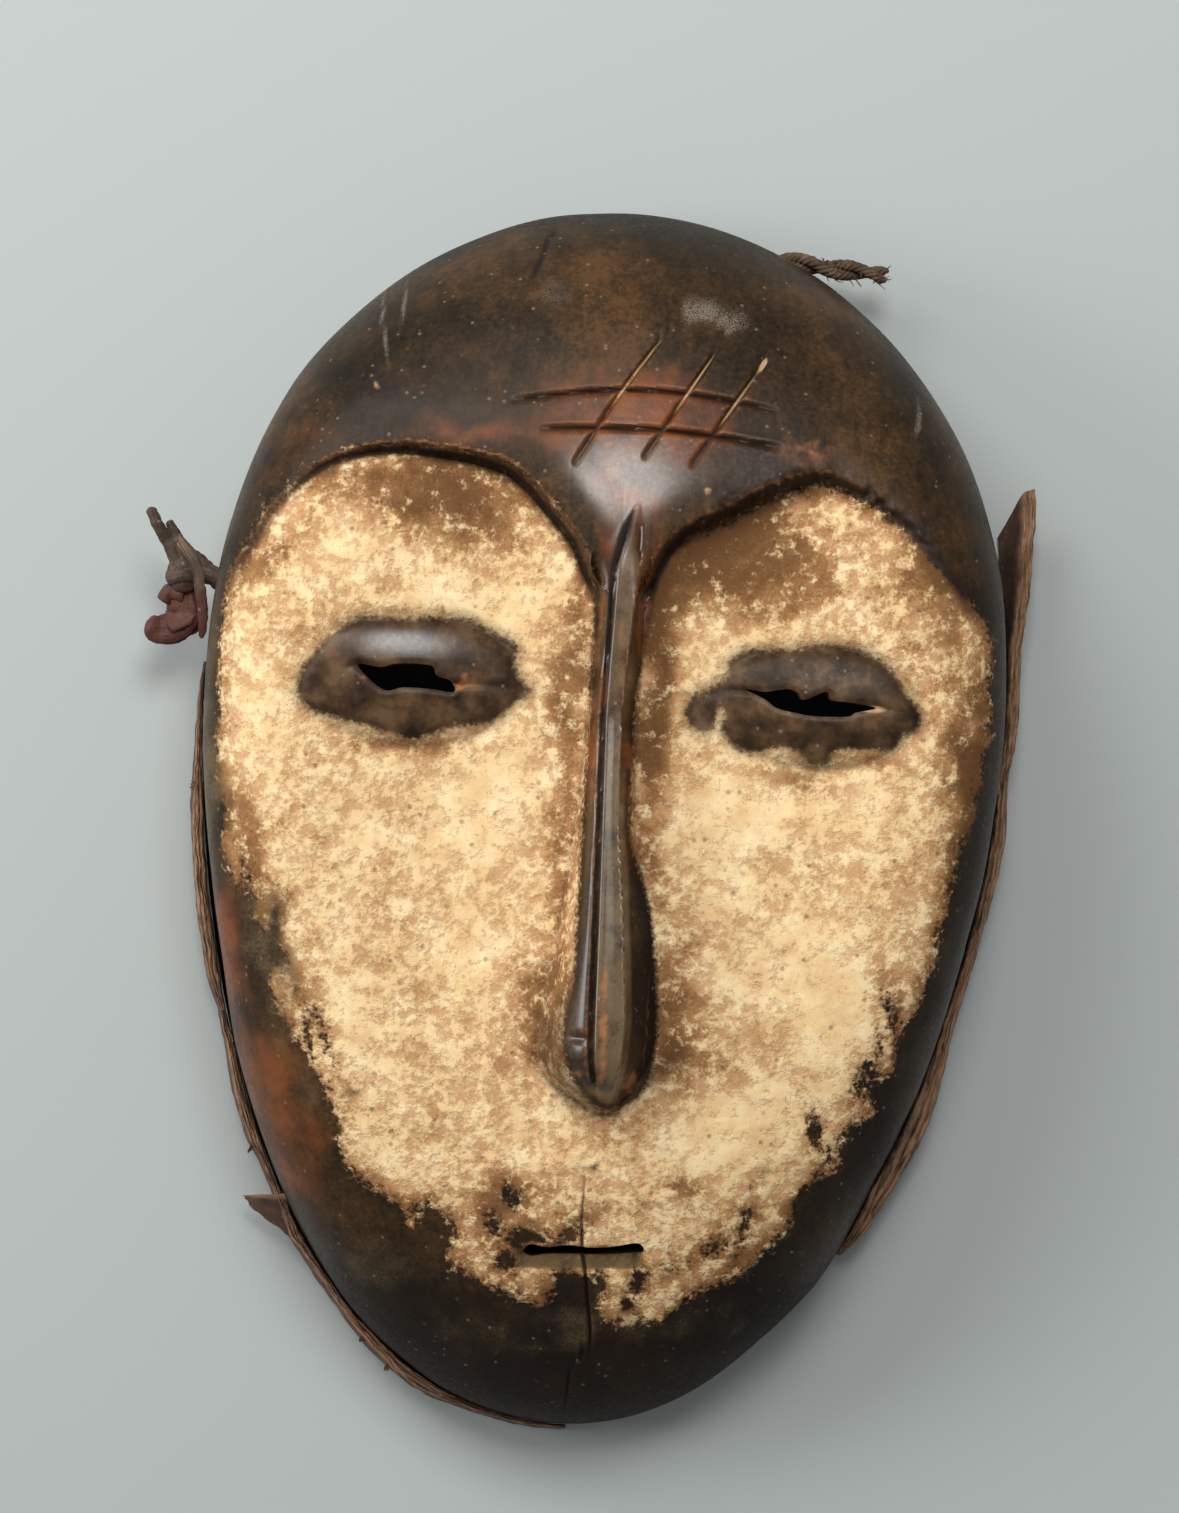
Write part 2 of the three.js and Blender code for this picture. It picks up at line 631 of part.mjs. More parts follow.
// Torn flap that stands away from the chin's strip
function flapSolid() {
  const { from, to, reach, low, high } = FLAP;
  const root = HIDE_GAP + BAND_CHIN.thickness / 2;
  const tip = lerp(from, to, FLAP_TIP_AT);
  const section = (share) => {
    const [first, second] = [from, to].map((side) => {
      return degToRad(lerp(side, tip, share * FLAP_NARROWS_BY));
    });
    const off = root + reach * share;
    const lift = FLAP_LIFT * share;
    const top = lerp(high, low, FLAP_THINS_BY * share) + lift;
    return [
      wallPoint(first, low + lift, off),
      wallPoint(first, top, off),
      wallPoint(second, top, off),
      wallPoint(second, low + lift, off),
    ];
  };
  return solidOf(loftGeometry([section(0), section(0.5), section(1)]));
}

// One arm of the thong, whose radius runs through its list from end to end
function thongArm({ points, radii }) {
  const steps = (points.length - 1) * STEPS_BETWEEN_POINTS;
  const radiusAt = (share) => {
    const place = share * (radii.length - 1);
    const before = Math.min(Math.floor(place), radii.length - 2);
    return lerp(radii[before], radii[before + 1], place - before);
  };
  return tubeSolid(raised(points, TIE_LEFT_HEIGHT), steps, THONG_SIDES, radiusAt);
}

// Knotted thong: its stem comes out of the wall, goes through a knot and splits into two
// fingers, and a broad end curls back beside the wall
function leftTieSolid() {
  const knot = new THREE.SphereGeometry(1, KNOT.segments, KNOT.bands);
  knot.scale(...KNOT.radii);
  knot.translate(...KNOT.centre, TIE_LEFT_HEIGHT);
  return Object.values(THONG).reduce((tie, arm) => tie.add(thongArm(arm)), solidOf(knot));
}

// Two-ply cord: a waisted section that turns as it goes along
function topTieSolid() {
  const radiusAt = (share, angle) => {
    const turn = 2 * Math.PI * CORD_TURNS * share;
    const worn = 1 - CORD_END.thinner * smoothstep(share, CORD_END.from, 1);
    return (CORD_THICKNESS / 2) * worn * (1 - CORD_WAIST + CORD_WAIST * Math.cos(2 * (angle - turn)));
  };
  return tubeSolid(raised(CORD, TIE_TOP_HEIGHT), CORD_STEPS, CORD_SIDES, radiusAt);
}

function piece(name, solid, finish) {
  const mesh = new THREE.Mesh(geometryOf(solid), new THREE.MeshStandardMaterial(finish));
  mesh.name = name;
  return mesh;
}

const model = new THREE.Group();
model.add(piece('mask', maskSolid(), WOOD));
model.add(piece('hide_band_right', bandSolid(BAND_RIGHT), HIDE));
model.add(piece('hide_band_left', bandSolid(BAND_LEFT), HIDE));
model.add(piece('hide_band_chin', bandSolid(BAND_CHIN).add(flapSolid()), HIDE));
model.add(piece('tie_left', leftTieSolid(), DARK_HIDE));
model.add(piece('tie_top', topTieSolid(), FIBRE));

// The origin is under the middle of the whole object
const centre = new THREE.Box3().setFromObject(model).getCenter(new THREE.Vector3());
model.position.set(-centre.x, -centre.y, 0);

const group = new THREE.Group();
group.add(model);
export default group;
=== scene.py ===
# %% [markdown]
# # A carved wooden face mask with a whitened, heart-shaped face
# The mask is one piece of wood: a dome with a flat rim, hollow behind, a face sunk into
# its front and painted with pale clay, a long narrow nose, two low eyes with slits and a
# small straight mouth. Scraps of a dried hide band and two ties are left round the rim.
# It lies on its rim, face up, on a pale floor, and the camera looks straight down.
#
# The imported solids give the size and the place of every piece. This script gives each
# piece its fine surface and its finish, in the same frame.

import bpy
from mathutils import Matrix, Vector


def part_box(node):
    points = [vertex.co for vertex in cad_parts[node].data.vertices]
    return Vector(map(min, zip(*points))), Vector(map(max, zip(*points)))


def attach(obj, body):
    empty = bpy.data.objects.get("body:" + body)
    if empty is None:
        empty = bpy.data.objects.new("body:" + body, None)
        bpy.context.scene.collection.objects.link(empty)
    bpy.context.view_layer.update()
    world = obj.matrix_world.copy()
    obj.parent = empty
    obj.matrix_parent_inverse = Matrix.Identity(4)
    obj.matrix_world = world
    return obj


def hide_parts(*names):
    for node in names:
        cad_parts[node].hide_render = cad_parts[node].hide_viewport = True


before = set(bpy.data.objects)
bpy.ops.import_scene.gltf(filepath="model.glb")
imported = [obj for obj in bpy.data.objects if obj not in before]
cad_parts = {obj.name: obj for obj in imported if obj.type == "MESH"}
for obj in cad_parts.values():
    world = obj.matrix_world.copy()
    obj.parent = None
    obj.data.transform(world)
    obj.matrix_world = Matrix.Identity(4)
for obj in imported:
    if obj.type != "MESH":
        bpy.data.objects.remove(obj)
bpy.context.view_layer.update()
print("solids:", sorted(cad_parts))

# %% Libraries and units
import math

import bmesh
import bpy
import numpy as np
from mathutils import Vector, noise

MM = 0.001
scene = bpy.context.scene

# %% [markdown]
# ## The form of the mask
# The rim is not an ellipse: it is widest at the eyes, narrows to the chin and leans a
# little. So its half width and its lean are short polynomials in v, which runs from -1 at
# the chin to 1 at the top. The dome over it is a rounded section, fuller at the sides than
# at the ends. All measures are in millimetres, from the mask's own middle line.

# %% Measures of the dome
RIM_HALF_LENGTH = 127.3
RIM_MIDDLE_Y = -1.8
RIM_HALF_WIDTH = [82.5, 12, 6.3, -3.1]
RIM_LEAN = [-0.1, 1.7, -2.4, 0.9]
CROWN_HEIGHT = [58, 6, -4, 2]
CROWN_SIDE_DROP = 5
FULLNESS_SIDE = 8
FULLNESS_FOREHEAD = 2.6
FULLNESS_CHIN = 3.6
WALL_FLARE = 0.06
WALL_THICKNESS = 8
FRONT_THICKNESS = 9.5
HOLLOW_SQUARENESS = 0.55
ROUND_SECTION = 2.2


# %% Small helpers for numbers
def poly(terms, v):
    """Value of a polynomial, given by its terms, at v."""
    return sum(term * v**power for power, term in enumerate(terms))


def ease(value, low, high):
    """0 below low, 1 above high, and a smooth rise between them."""
    share = np.clip((value - low) / (high - low), 0, 1)
    return share * share * (3 - 2 * share)


def bell(value, middle, width):
    """1 at the middle, falling off to both sides over a width."""
    return np.exp(-(((value - middle) / width) ** 2))


# %% The dome as formulas
def plan_point(a, b, inset=0):
    """Place on the plan of a point (a, b) of the unit disc, whose edge is the rim."""
    lean = poly(RIM_LEAN, b) * np.sqrt(np.maximum(0, 1 - b * b))
    x = a * (poly(RIM_HALF_WIDTH, b) - inset) + lean
    return x, RIM_MIDDLE_Y + b * (RIM_HALF_LENGTH - inset)


def fullness(b):
    """How square the section is towards a direction whose sine is b."""
    end = np.where(b > 0, FULLNESS_FOREHEAD, FULLNESS_CHIN)
    return end + (FULLNESS_SIDE - end) * (1 - b * b) ** 2


def flare(b):
    """How much the wall spreads towards the rim, as a share of its reach."""
    return WALL_FLARE * (1 - ease(b, -0.5, 0.6))


def crown_height(x, y):
    """Height that the dome's front would have over a place, were it flat to the edge."""
    v = (y - RIM_MIDDLE_Y) / RIM_HALF_LENGTH
    return poly(CROWN_HEIGHT, v) - CROWN_SIDE_DROP * (x / RIM_HALF_WIDTH[0]) ** 2


def section(t, n, corner_at):
    """Reach and height, as shares, of a rounded section from its middle (t = 0) to the
    rim (t = 1), with its corner at a chosen t."""
    corner = 2 ** (-1 / n)
    reach = np.minimum(corner * t / corner_at, 1)
    share = np.clip(corner * (1 - t) / (1 - corner_at), 0, 1)
    front = t < corner_at
    over = np.where(front, (1 - reach**n) ** (1 / n), share)
    return np.where(front, reach, (1 - share**n) ** (1 / n)), over


def shell_point(t, turn, corner_at, inset=0, drop=0, squareness=1):
    """Point of the outside, or of the hollow with its insets, at a share t of the way from
    the middle to the rim in a direction."""
    b = np.sin(turn)
    n = ROUND_SECTION + (fullness(b) - ROUND_SECTION) * squareness
    reach, share = section(t, n, corner_at)
    radius = reach * (1 - flare(b) * share)
    x, y = plan_point(radius * np.cos(turn), radius * b, inset)
    return x, y, share * (crown_height(x, y) - drop)


def wall_point(turn, z, off):
    """Point of the side wall at a direction and a height, moved off the wood in plan."""
    def place(at):
        b = np.sin(at)
        x, y = plan_point(np.cos(at), b)
        share = np.minimum(1, z / crown_height(x, y))
        n = fullness(b)
        radius = (1 - share**n) ** (1 / n) * (1 - flare(b) * share)
        return plan_point(radius * np.cos(at), radius * b)
    x, y = place(turn)
    x0, y0 = place(turn - 0.01)
    x1, y1 = place(turn + 0.01)
    run = np.hypot(x1 - x0, y1 - y0)
    return x + off * (y1 - y0) / run, y - off * (x1 - x0) / run


# %% Place of the mask's middle line in the frame
CAD_SECTORS = 72
rim_turns = np.radians(np.arange(CAD_SECTORS) * 360 / CAD_SECTORS)
rim_x, rim_y = plan_point(np.cos(rim_turns), np.sin(rim_turns))
mask_low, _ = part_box("mask")
SHIFT_X = mask_low.x / MM - rim_x.min()
SHIFT_Y = mask_low.y / MM - rim_y.min()
print(f"the mask's measures are shifted by {SHIFT_X:.2f}, {SHIFT_Y:.2f} mm in the frame")


# %% [markdown]
# ## Tools for lines and noise
# The carving follows lines on the plan: the brow, the edge of the clay, the cuts. Each is
# a smooth line through a few places. What counts for the carving and for the colours is
# how far a point lies from such a line, so one helper measures that.

# %% Lines and distances
def smooth_line(points, closed=False, steps=6):
    """Places along a smooth line through a few points, in any number of dimensions."""
    points = np.array(points, float)
    if closed:
        padded = np.vstack([points[-1:], points, points[:2]])
    else:
        first = 2 * points[0] - points[1]
        last = 2 * points[-1] - points[-2]
        padded = np.vstack([first, points, last])
    t = (np.arange(steps) / steps)[:, None]
    spans = []
    for k in range(len(padded) - 3):
        p0, p1, p2, p3 = padded[k:k + 4]
        bend = (2 * p0 - 5 * p1 + 4 * p2 - p3) * t**2
        twist = (3 * p1 - p0 - 3 * p2 + p3) * t**3
        spans.append(0.5 * (2 * p1 + (p2 - p0) * t + bend + twist))
    line = np.vstack(spans)
    return line if closed else np.vstack([line, points[-1:]])


def from_line(x, y, line):
    """Distance to a line, and the share of its segments passed at the nearest place."""
    best = np.full(x.shape, 1e9)
    along = np.zeros(x.shape)
    for k, ((x0, y0), (x1, y1)) in enumerate(zip(line[:-1], line[1:])):
        dx, dy = x1 - x0, y1 - y0
        share = np.clip(((x - x0) * dx + (y - y0) * dy) / (dx * dx + dy * dy + 1e-12), 0, 1)
        gap = np.hypot(x - x0 - share * dx, y - y0 - share * dy)
        along = np.where(gap < best, (k + share) / (len(line) - 1), along)
        best = np.minimum(best, gap)
    return best, along


def inside_of(x, y, outline):
    """Distance to a closed outline, positive inside it and negative outside."""
    line = np.vstack([outline, outline[:1]])
    gap, _ = from_line(x, y, line)
    within = np.zeros(x.shape, bool)
    for (x0, y0), (x1, y1) in zip(line[:-1], line[1:]):
        if y0 != y1:
            crossing = ((y0 > y) != (y1 > y)) & (x < (x1 - x0) * (y - y0) / (y1 - y0) + x0)
            within ^= crossing
    return np.where(within, gap, -gap)


def ripple(points, size, octaves=3, seed=0):
    """Smooth noise, about -1 to 1, with bumps of a size, at each point."""
    sizes = np.broadcast_to(size, 3)
    scaled = points / sizes + seed * 17.3
    return np.array([noise.fractal(p, 1.0, 2.0, octaves) for p in scaled])


# %% [markdown]
# ## The face
# The heart-shaped face lies up to 7.5 mm under the dome, deepest at the nose root, and
# fades out to the sides and the chin. Its upper edge is the brow: a crisp lip, with a
# dark groove at its foot, that comes down to a point at the nose root.

# %% Brow and depth of the face
FACE_DEPTH = 7.5
FACE_RUN_OUT = 0.4
BROW_LEFT = [
    (-84, 33), (-76, 45), (-68, 59), (-58, 68), (-45, 71.8), (-30, 71),
    (-20, 68.3), (-12, 61), (-6, 54), (-3, 47.5), (2, 41),
]
BROW_RIGHT = [
    (4, 41), (7.4, 47.5), (9.8, 53.5), (14, 58.2), (21, 62), (30, 67.3), (40, 70.8),
    (49, 68.6), (60, 62), (69, 52), (77, 40), (84, 30),
]
BROW_FALL = 1.7
BROW_LIP = 0.55
BROW_GROOVE = 0.75
ROUGH_BROW_FALL = 2.6
BROW_RIDGE = 0.6
RIGHT_BROW_BARE = 2.8
brow_line = np.vstack([smooth_line(BROW_LEFT), smooth_line(BROW_RIGHT)])
brow_region = np.vstack([brow_line, [(110, 30), (110, -220), (-110, -220), (-110, 33)]])


def face_depth(x, y):
    """Depth of the sunken face under the dome."""
    across = 1 - ease(np.abs(x - 2), 20, 78)
    return FACE_DEPTH * across * ease(y, -95, 40)


def right_side(x):
    """0 at the nose and 1 at the right, where the brow is rough and worn."""
    return ease(x, 8, 20)


def face_fall(x, y, brow):
    """How far the front is carved down, given the distance inside the brow line."""
    depth = face_depth(x, y)
    strength = np.clip(depth / 3, 0, 1)
    rough = right_side(x)
    width = BROW_FALL + ROUGH_BROW_FALL * rough
    fall = np.maximum(depth - FACE_RUN_OUT, 0) * ease(brow, -0.3, width)
    lip = BROW_LIP * strength * np.where(brow < 0, np.exp(brow / 2.4), 1)
    groove = BROW_GROOVE * strength * bell(brow, BROW_FALL, 0.8) * (1 - 0.7 * rough)
    ridge = BROW_RIDGE * bell(brow, -7, 5) * bell(x, -3, 24)
    return fall + lip + groove - ridge


# %% [markdown]
# ## The nose
# The nose is long and narrow. A flat strip runs down its ridge between two incised
# edges, with a sloping facet on either side. It is given at a few stations from the
# forehead down to the tip, and everything between them is blended.

# %% Nose stations
NOSE_STATIONS = np.array([
    # y, left foot, left edge of the strip, right edge, right foot, rise
    (62, -1, 4.2, 5.1, 10, 6.6),
    (50, -4, 1.0, 6.0, 8, 7.1),
    (40, -2, 0.8, 5.0, 7, 6.9),
    (30, -2.3, 0.5, 4.4, 6.9, 6.6),
    (20, -2.6, 0.3, 3.9, 6.8, 6.4),
    (0, -3.6, 0.8, 4.5, 7.4, 8.8),
    (-20, -5.6, 1.2, 6.5, 11.5, 11.6),
    (-40, -8.6, 1.5, 8, 14, 14),
    (-48, -9.6, 1.8, 7.5, 13.6, 14.4),
    (-53.5, -6.5, 3, 6.4, 10.5, 12.2),
    (-57, 0.5, 3.6, 5.8, 8, 3),
    (-59.5, 2.5, 4, 5.4, 7, -1.5),
])
NOSE_TOP, NOSE_END = 62, -60
NOSE_SPACING = 0.5
NOSE_BLUR = 8
GROOVE_LEFT, GROOVE_RIGHT = 1.3, 0.3
NICK_AT, NICK_HALF, NICK_DEPTH = (-1, -43.5), (2.2, 0.9), 0.9
FAR_BELOW = -5
nose_y = np.arange(NOSE_TOP, NOSE_END, -NOSE_SPACING)
kernel = bell(np.arange(-NOSE_BLUR, NOSE_BLUR + 1), 0, NOSE_BLUR / 2)
kernel /= kernel.sum()
nose_table = []
for column in NOSE_STATIONS.T[1:]:
    values = np.interp(-nose_y, -NOSE_STATIONS[:, 0], column)
    padded = np.pad(values, NOSE_BLUR, mode="edge")
    nose_table.append(np.convolve(padded, kernel, "valid"))


def nose_form(x, y):
    """Height of the nose over the sunken face, and the places of its strip's edges."""
    foot_l, strip_l, strip_r, foot_r, rise = (np.interp(-y, -nose_y, v) for v in nose_table)
    left = (x - foot_l) / (strip_l - foot_l)
    right = (foot_r - x) / (foot_r - strip_r)
    share = np.minimum(left, right)
    inner = np.clip(share, 0, 1)
    crest = 1 - (1 - inner) ** 1.9
    facet = np.where(left < right, crest, inner - 0.12 * inner * (1 - inner))
    middle = (strip_l + strip_r) / 2
    across = (x - middle) / np.maximum((strip_r - strip_l) / 2, 0.3)
    strip = rise + 0.4 * ease(np.abs(across), 0.2, 1) - 0.15
    height = np.where(share < 1, rise * facet, strip)
    height = np.where(share < 0, np.minimum(rise, 0) + 8 * share, height)
    cut = ease(rise, 2, 5)
    height -= cut * GROOVE_LEFT * bell(x, strip_l - 0.1, 0.6)
    height -= cut * GROOVE_RIGHT * bell(x, strip_r + 0.9, 0.6)
    across, along = (x - NICK_AT[0]) / NICK_HALF[0], (y - NICK_AT[1]) / NICK_HALF[1]
    height -= NICK_DEPTH * bell(np.hypot(across, along), 0, 1) * (x < strip_l)
    height[(y > NOSE_TOP) | (y < NOSE_END)] = FAR_BELOW
    return height, strip_l, strip_r


# %% [markdown]
# ## Eyes, mouth, cuts and cracks
# The eyes are low almond mounds with slits cut through them, and the mouth is a slit with
# a chiselled slope under it. Five cuts cross on the forehead. A crack runs down through
# the mouth to the rim. Each is a small function of the place on the plan.

# %% Places of the carving
EYES = [
    {"middle": (-38.5, 25.4), "half": (21.8, 12)},
    {"middle": (42.6, 24.6), "half": (20.2, 11.2)},
]
EYE_RISE = 3
EYE_LINE = 24.8
MOUTH_LINE, MOUTH_LEAN = -87.6, 0.05
SLITS = {
    "left": [(-48.9, 27.2), (-44.2, 26.9), (-41, 27.8), (-34.4, 27.8), (-33.2, 25.9),
             (-30.4, 25), (-29.5, 22.8), (-34.2, 23.1), (-39.6, 23.1), (-42.9, 22.3), (-46.2, 24.1)],
    "right": [(28.2, 26.7), (32.1, 26.4), (36.4, 27.2), (38.6, 26.5), (39.8, 25.2), (44.1, 27.1),
              (45.2, 25.5), (49.6, 25.2), (54.1, 24.4), (50.3, 23.3), (48.7, 22.4), (42.2, 22.1),
              (37.8, 22.6), (34.4, 23.3), (32.2, 24.8)],
    "mouth": [(-9.4, -87.4), (-8, -86.3), (-5, -86.8), (-0.3, -86), (3.3, -86.4), (8.1, -86),
              (12.2, -85), (14, -85.3), (14.4, -86.8), (11.7, -87.3), (5.8, -87.9), (-0.2, -88.1),
              (-4.9, -88.4), (-7.9, -89), (-9.3, -88.4)],
}
SLIT_CORNERS = [
    [(-29.5, 24.2), (-25.5, 24.6), (-20, 24.4), (-15, 23.7)],
    [(-48.5, 27), (-51, 26.4)],
    [(54, 24.2), (58, 24.2), (61, 22.5)],
    [(28.4, 26.5), (24.5, 26.2), (21.5, 25.2)],
]
CUTS = [
    {"from": (10.3, 99.5), "to": (-8.3, 69.5), "bow": 0.6},
    {"from": (20, 96), "to": (5.5, 71.5), "bow": 0},
    {"from": (29, 93), "to": (15, 70.5), "bow": 0},
    {"from": (31, 82.5), "to": (-21, 81.5), "bow": 2.9},
    {"from": (32, 75), "to": (-15, 76), "bow": 1.5},
]
SLANTING_CUTS = 3
CUT_WIDTH = 0.85
CUT_DEPTH = 1.0
CRACK_DEPTH = 0.9
CHIN_CRACK = [(1.5, -67.5), (1.9, -74), (1.8, -81), (2.4, -88), (3, -91), (4, -98.4), (4.9, -106),
              (3, -109), (1.2, -112), (0.8, -118), (0.4, -127)]
TOP_CRACK = [(-14.5, 119), (-16.4, 115.5), (-17.6, 111), (-18.8, 108)]


def bowed(cut, steps=10):
    """Places along a cut that bows a little to one side."""
    start, end = np.array(cut["from"]), np.array(cut["to"])
    share = np.linspace(0, 1, steps)[:, None]
    run = end - start
    side = np.array([-run[1], run[0]]) / np.hypot(*run)
    return start + run * share - side * cut["bow"] * np.sin(np.pi * share)


cut_lines = [bowed(cut) for cut in CUTS]
slit_lines = {name: smooth_line(points, closed=True, steps=4) for name, points in SLITS.items()}


# %% Carving on the plan
def eye_form(x, y):
    """Height of the eyes' mounds over the face."""
    height = np.zeros(x.shape)
    for eye in EYES:
        (cx, cy), (hx, hy) = eye["middle"], eye["half"]
        lower = np.where(y < cy, 1.12, 1.0)
        u = ((x - cx) / hx) ** 2 + ((y - cy) / (hy * lower)) ** 2
        height += EYE_RISE * np.maximum(0, 1 - u) ** 0.75
        height -= 0.35 * bell(np.sqrt(u), 1.06, 0.1)
    return height


def lid_form(x, y):
    """Lips round the eyes' slits, and the creases that run out from their corners."""
    height = np.zeros(x.shape)
    for name in ("left", "right"):
        gap = -inside_of(x, y, slit_lines[name])
        lower = ease(EYE_LINE - y, -1.5, 1.5)
        height += 0.16 * lower * bell(gap, 0.9, 0.6) - 0.5 * ease(-gap, -0.8, 0.3)
    for corner in SLIT_CORNERS:
        gap, along = from_line(x, y, smooth_line(corner))
        height -= 0.8 * bell(gap, 0, 0.7) * (1 - 0.8 * along)
    return height


def under_mouth(x, y):
    """Distance below the mouth's line, which leans a little."""
    return MOUTH_LINE + MOUTH_LEAN * (x - 2) - y


def mouth_form(x, y):
    """The chiselled slope under the mouth, and the slit's soft upper edge."""
    below = under_mouth(x, y)
    across = ease(x, -12, -8.5) * (1 - ease(x, 12.5, 15.5))
    slope = 2.6 * np.clip(1 - below / 3.9, 0, 1) * ease(below, -1.6, 0)
    return -across * slope


def cut_form(x, y):
    """Depth of the forehead's cuts, with the small burr beside them, and how deep in any
    of them and in a slanting one a point lies, from 0 to 1."""
    height = np.zeros(x.shape)
    deep = np.zeros(x.shape)
    slanting = np.zeros(x.shape)
    for number, line in enumerate(cut_lines):
        gap, along = from_line(x, y, line)
        taper = 0.35 + 0.65 * np.sqrt(np.sin(np.pi * np.clip(along, 0, 1)))
        vee = np.clip(1 - gap / CUT_WIDTH, 0, 1) * taper
        height = np.minimum(height, -CUT_DEPTH * vee)
        height += 0.1 * bell(gap, 1.25, 0.4) * taper
        deep = np.maximum(deep, vee)
        if number < SLANTING_CUTS:
            slanting = np.maximum(slanting, vee * ease(along, 0.95, 0.5))
    return height, deep, slanting


def crack_form(x, y):
    """Depth of the cracks, from 0 to 1."""
    deep = np.zeros(x.shape)
    for line, width in ((CHIN_CRACK, 0.5), (TOP_CRACK, 0.9)):
        gap, along = from_line(x, y, smooth_line(line))
        deep = np.maximum(deep, np.clip(1 - gap / width, 0, 1) * ease(along, 0, 0.15))
    return deep * (1 - 0.6 * bell(y, -76, 9))


# %% [markdown]
# ## The clay and its edge
# The clay is a thin crust of its own. It fills the heart under the brow and is worn
# off along the sides and the chin, where dark wood shows. The edge is measured here
# once: the surface steps up over it by a quarter of a millimetre, and the finish reads the
# same measure to change colour.

# %% Edge of the clay
CLAY_EDGE = [
    (77, 30), (77.5, 22), (76.5, 12), (75, 3), (72.5, -5), (71, -12), (70, -20), (68.5, -28),
    (66, -35), (62.5, -42), (62, -47), (59, -50), (58, -57), (53.5, -60), (53, -67), (49, -70),
    (45, -74), (43, -79), (41.5, -83), (37, -88), (34, -92), (29, -93.5), (24, -96.7),
    (18.6, -101.5), (12.7, -103), (6.6, -100.5), (7.4, -95), (3.1, -92), (-2.3, -92.8),
    (-3.3, -96), (-6.1, -99), (-11.5, -97.6), (-16.4, -96), (-20.8, -93), (-23.9, -90),
    (-23.7, -84.5), (-25.6, -82), (-28.7, -79), (-31, -80.5), (-32.4, -84), (-34.3, -81),
    (-37.7, -78.5), (-43.3, -75), (-46.5, -71.5), (-49.4, -63.5), (-51, -57), (-54, -52),
    (-58, -47), (-61, -41), (-62, -36), (-60, -31), (-64.5, -27), (-70, -20), (-73.5, -12),
    (-75.5, 0), (-76.5, 15), (-77, 30), (-76.5, 40),
]
NOSE_DARK = [
    (4.6, 63), (1, 58), (-2.6, 50), (-2.4, 38), (-2.2, 20), (-2.4, 2), (-2.4, -17), (-2.4, -33),
    (-3.6, -40), (-3.6, -45), (-1.8, -50.5), (1.9, -55.4), (5.8, -57.6), (10.3, -56), (13, -52),
    (14, -46), (14.2, -39), (13, -28), (11.4, -18), (8.4, -9), (6.5, -3), (6.3, 10), (6.5, 24),
    (7.6, 36), (9, 46), (8, 54),
]
EYE_LEFT_DARK = [
    (-60.3, 21.6), (-59, 26.6), (-54.4, 32.3), (-49.1, 36.2), (-41.5, 36.6), (-33.9, 37.2),
    (-27.3, 37), (-22.3, 34.7), (-17.8, 32.5), (-18.1, 29.5), (-16.8, 25.8), (-14.5, 23.7),
    (-17.7, 21.3), (-21.8, 17.3), (-27.2, 16.4), (-33.7, 14.4), (-37.5, 13.2), (-41.3, 14),
    (-46.8, 15.3), (-52.9, 16.6), (-57.9, 17.9),
]
EYE_RIGHT_DARK = [
    (17, 22.2), (18.2, 25), (21.2, 25.8), (24.8, 29.3), (25.2, 32), (29.4, 34.2), (37, 34.9),
    (42.5, 36), (47.9, 36.1), (52.4, 34.7), (56.9, 31.7), (59.9, 27.5), (62.8, 23.8), (62.5, 20.5),
    (59.8, 19.2), (57.8, 16.4), (52.3, 16.1), (46.4, 15.7), (45.4, 13.2), (42.2, 12.5),
    (39.3, 14.8), (34.9, 15.6), (30.6, 14.3), (26.7, 15.2), (24.3, 18.3), (24.7, 21.6),
    (23, 22.6), (22.1, 18.7), (20, 17.8), (17.4, 19.5),
]
brow_inside = np.vstack([smooth_line(BROW_LEFT[1:]), smooth_line(BROW_RIGHT[:-1])])
clay_outline = np.vstack([brow_inside, smooth_line(CLAY_EDGE, steps=3)])
nose_outline = smooth_line(NOSE_DARK, closed=True, steps=3)
eye_outlines = [smooth_line(points, closed=True, steps=3) for points in (EYE_LEFT_DARK, EYE_RIGHT_DARK)]

# %% [markdown]
# ## The mesh of the mask
# A flat square grid is bent round into a disc and lifted onto the dome. Where the carving
# is fine, at the nose, the eyes, the mouth, the cuts and the brow, its faces are divided
# once more first. The hollow is a second, coarser disc. The two are bridged at the flat
# rim, and the slits and the ties' holes are cut with a boolean, which keeps them crisp.

# %% Grids
OUTSIDE_SIDE = 216
HOLLOW_SIDE = 92
OUTSIDE_CORNER = 0.85
HOLLOW_CORNER = 0.7


def square_to_disc(u, v):
    """Bends the square from -1 to 1 into the unit disc, as a radius and a direction."""
    a = u * np.sqrt(1 - v * v / 2)
    b = v * np.sqrt(1 - u * u / 2)
    return np.minimum(np.hypot(a, b), 1), np.arctan2(b, a)


def outside_place(u, v):
    """Place on the outside of the dome of a point of the square."""
    t, turn = square_to_disc(u, v)
    return shell_point(t, turn, OUTSIDE_CORNER)


def to_mesh(name, bm):
    """Makes a mesh of a bmesh and frees the bmesh."""
    mesh = bpy.data.meshes.new(name)
    bm.to_mesh(mesh)
    bm.free()
    return mesh


def into_frame(bm):
    """Turns faces outward and brings the mask's millimetres into the frame."""
    bmesh.ops.recalc_face_normals(bm, faces=bm.faces)
    bmesh.ops.scale(bm, vec=(MM, MM, MM), verts=bm.verts)
    bmesh.ops.translate(bm, vec=(SHIFT_X * MM, SHIFT_Y * MM, 0), verts=bm.verts)


def show(name, data):
    """Puts a mesh, a light or a camera into the scene."""
    shown = bpy.data.objects.new(name, data)
    scene.collection.objects.link(shown)
    return shown


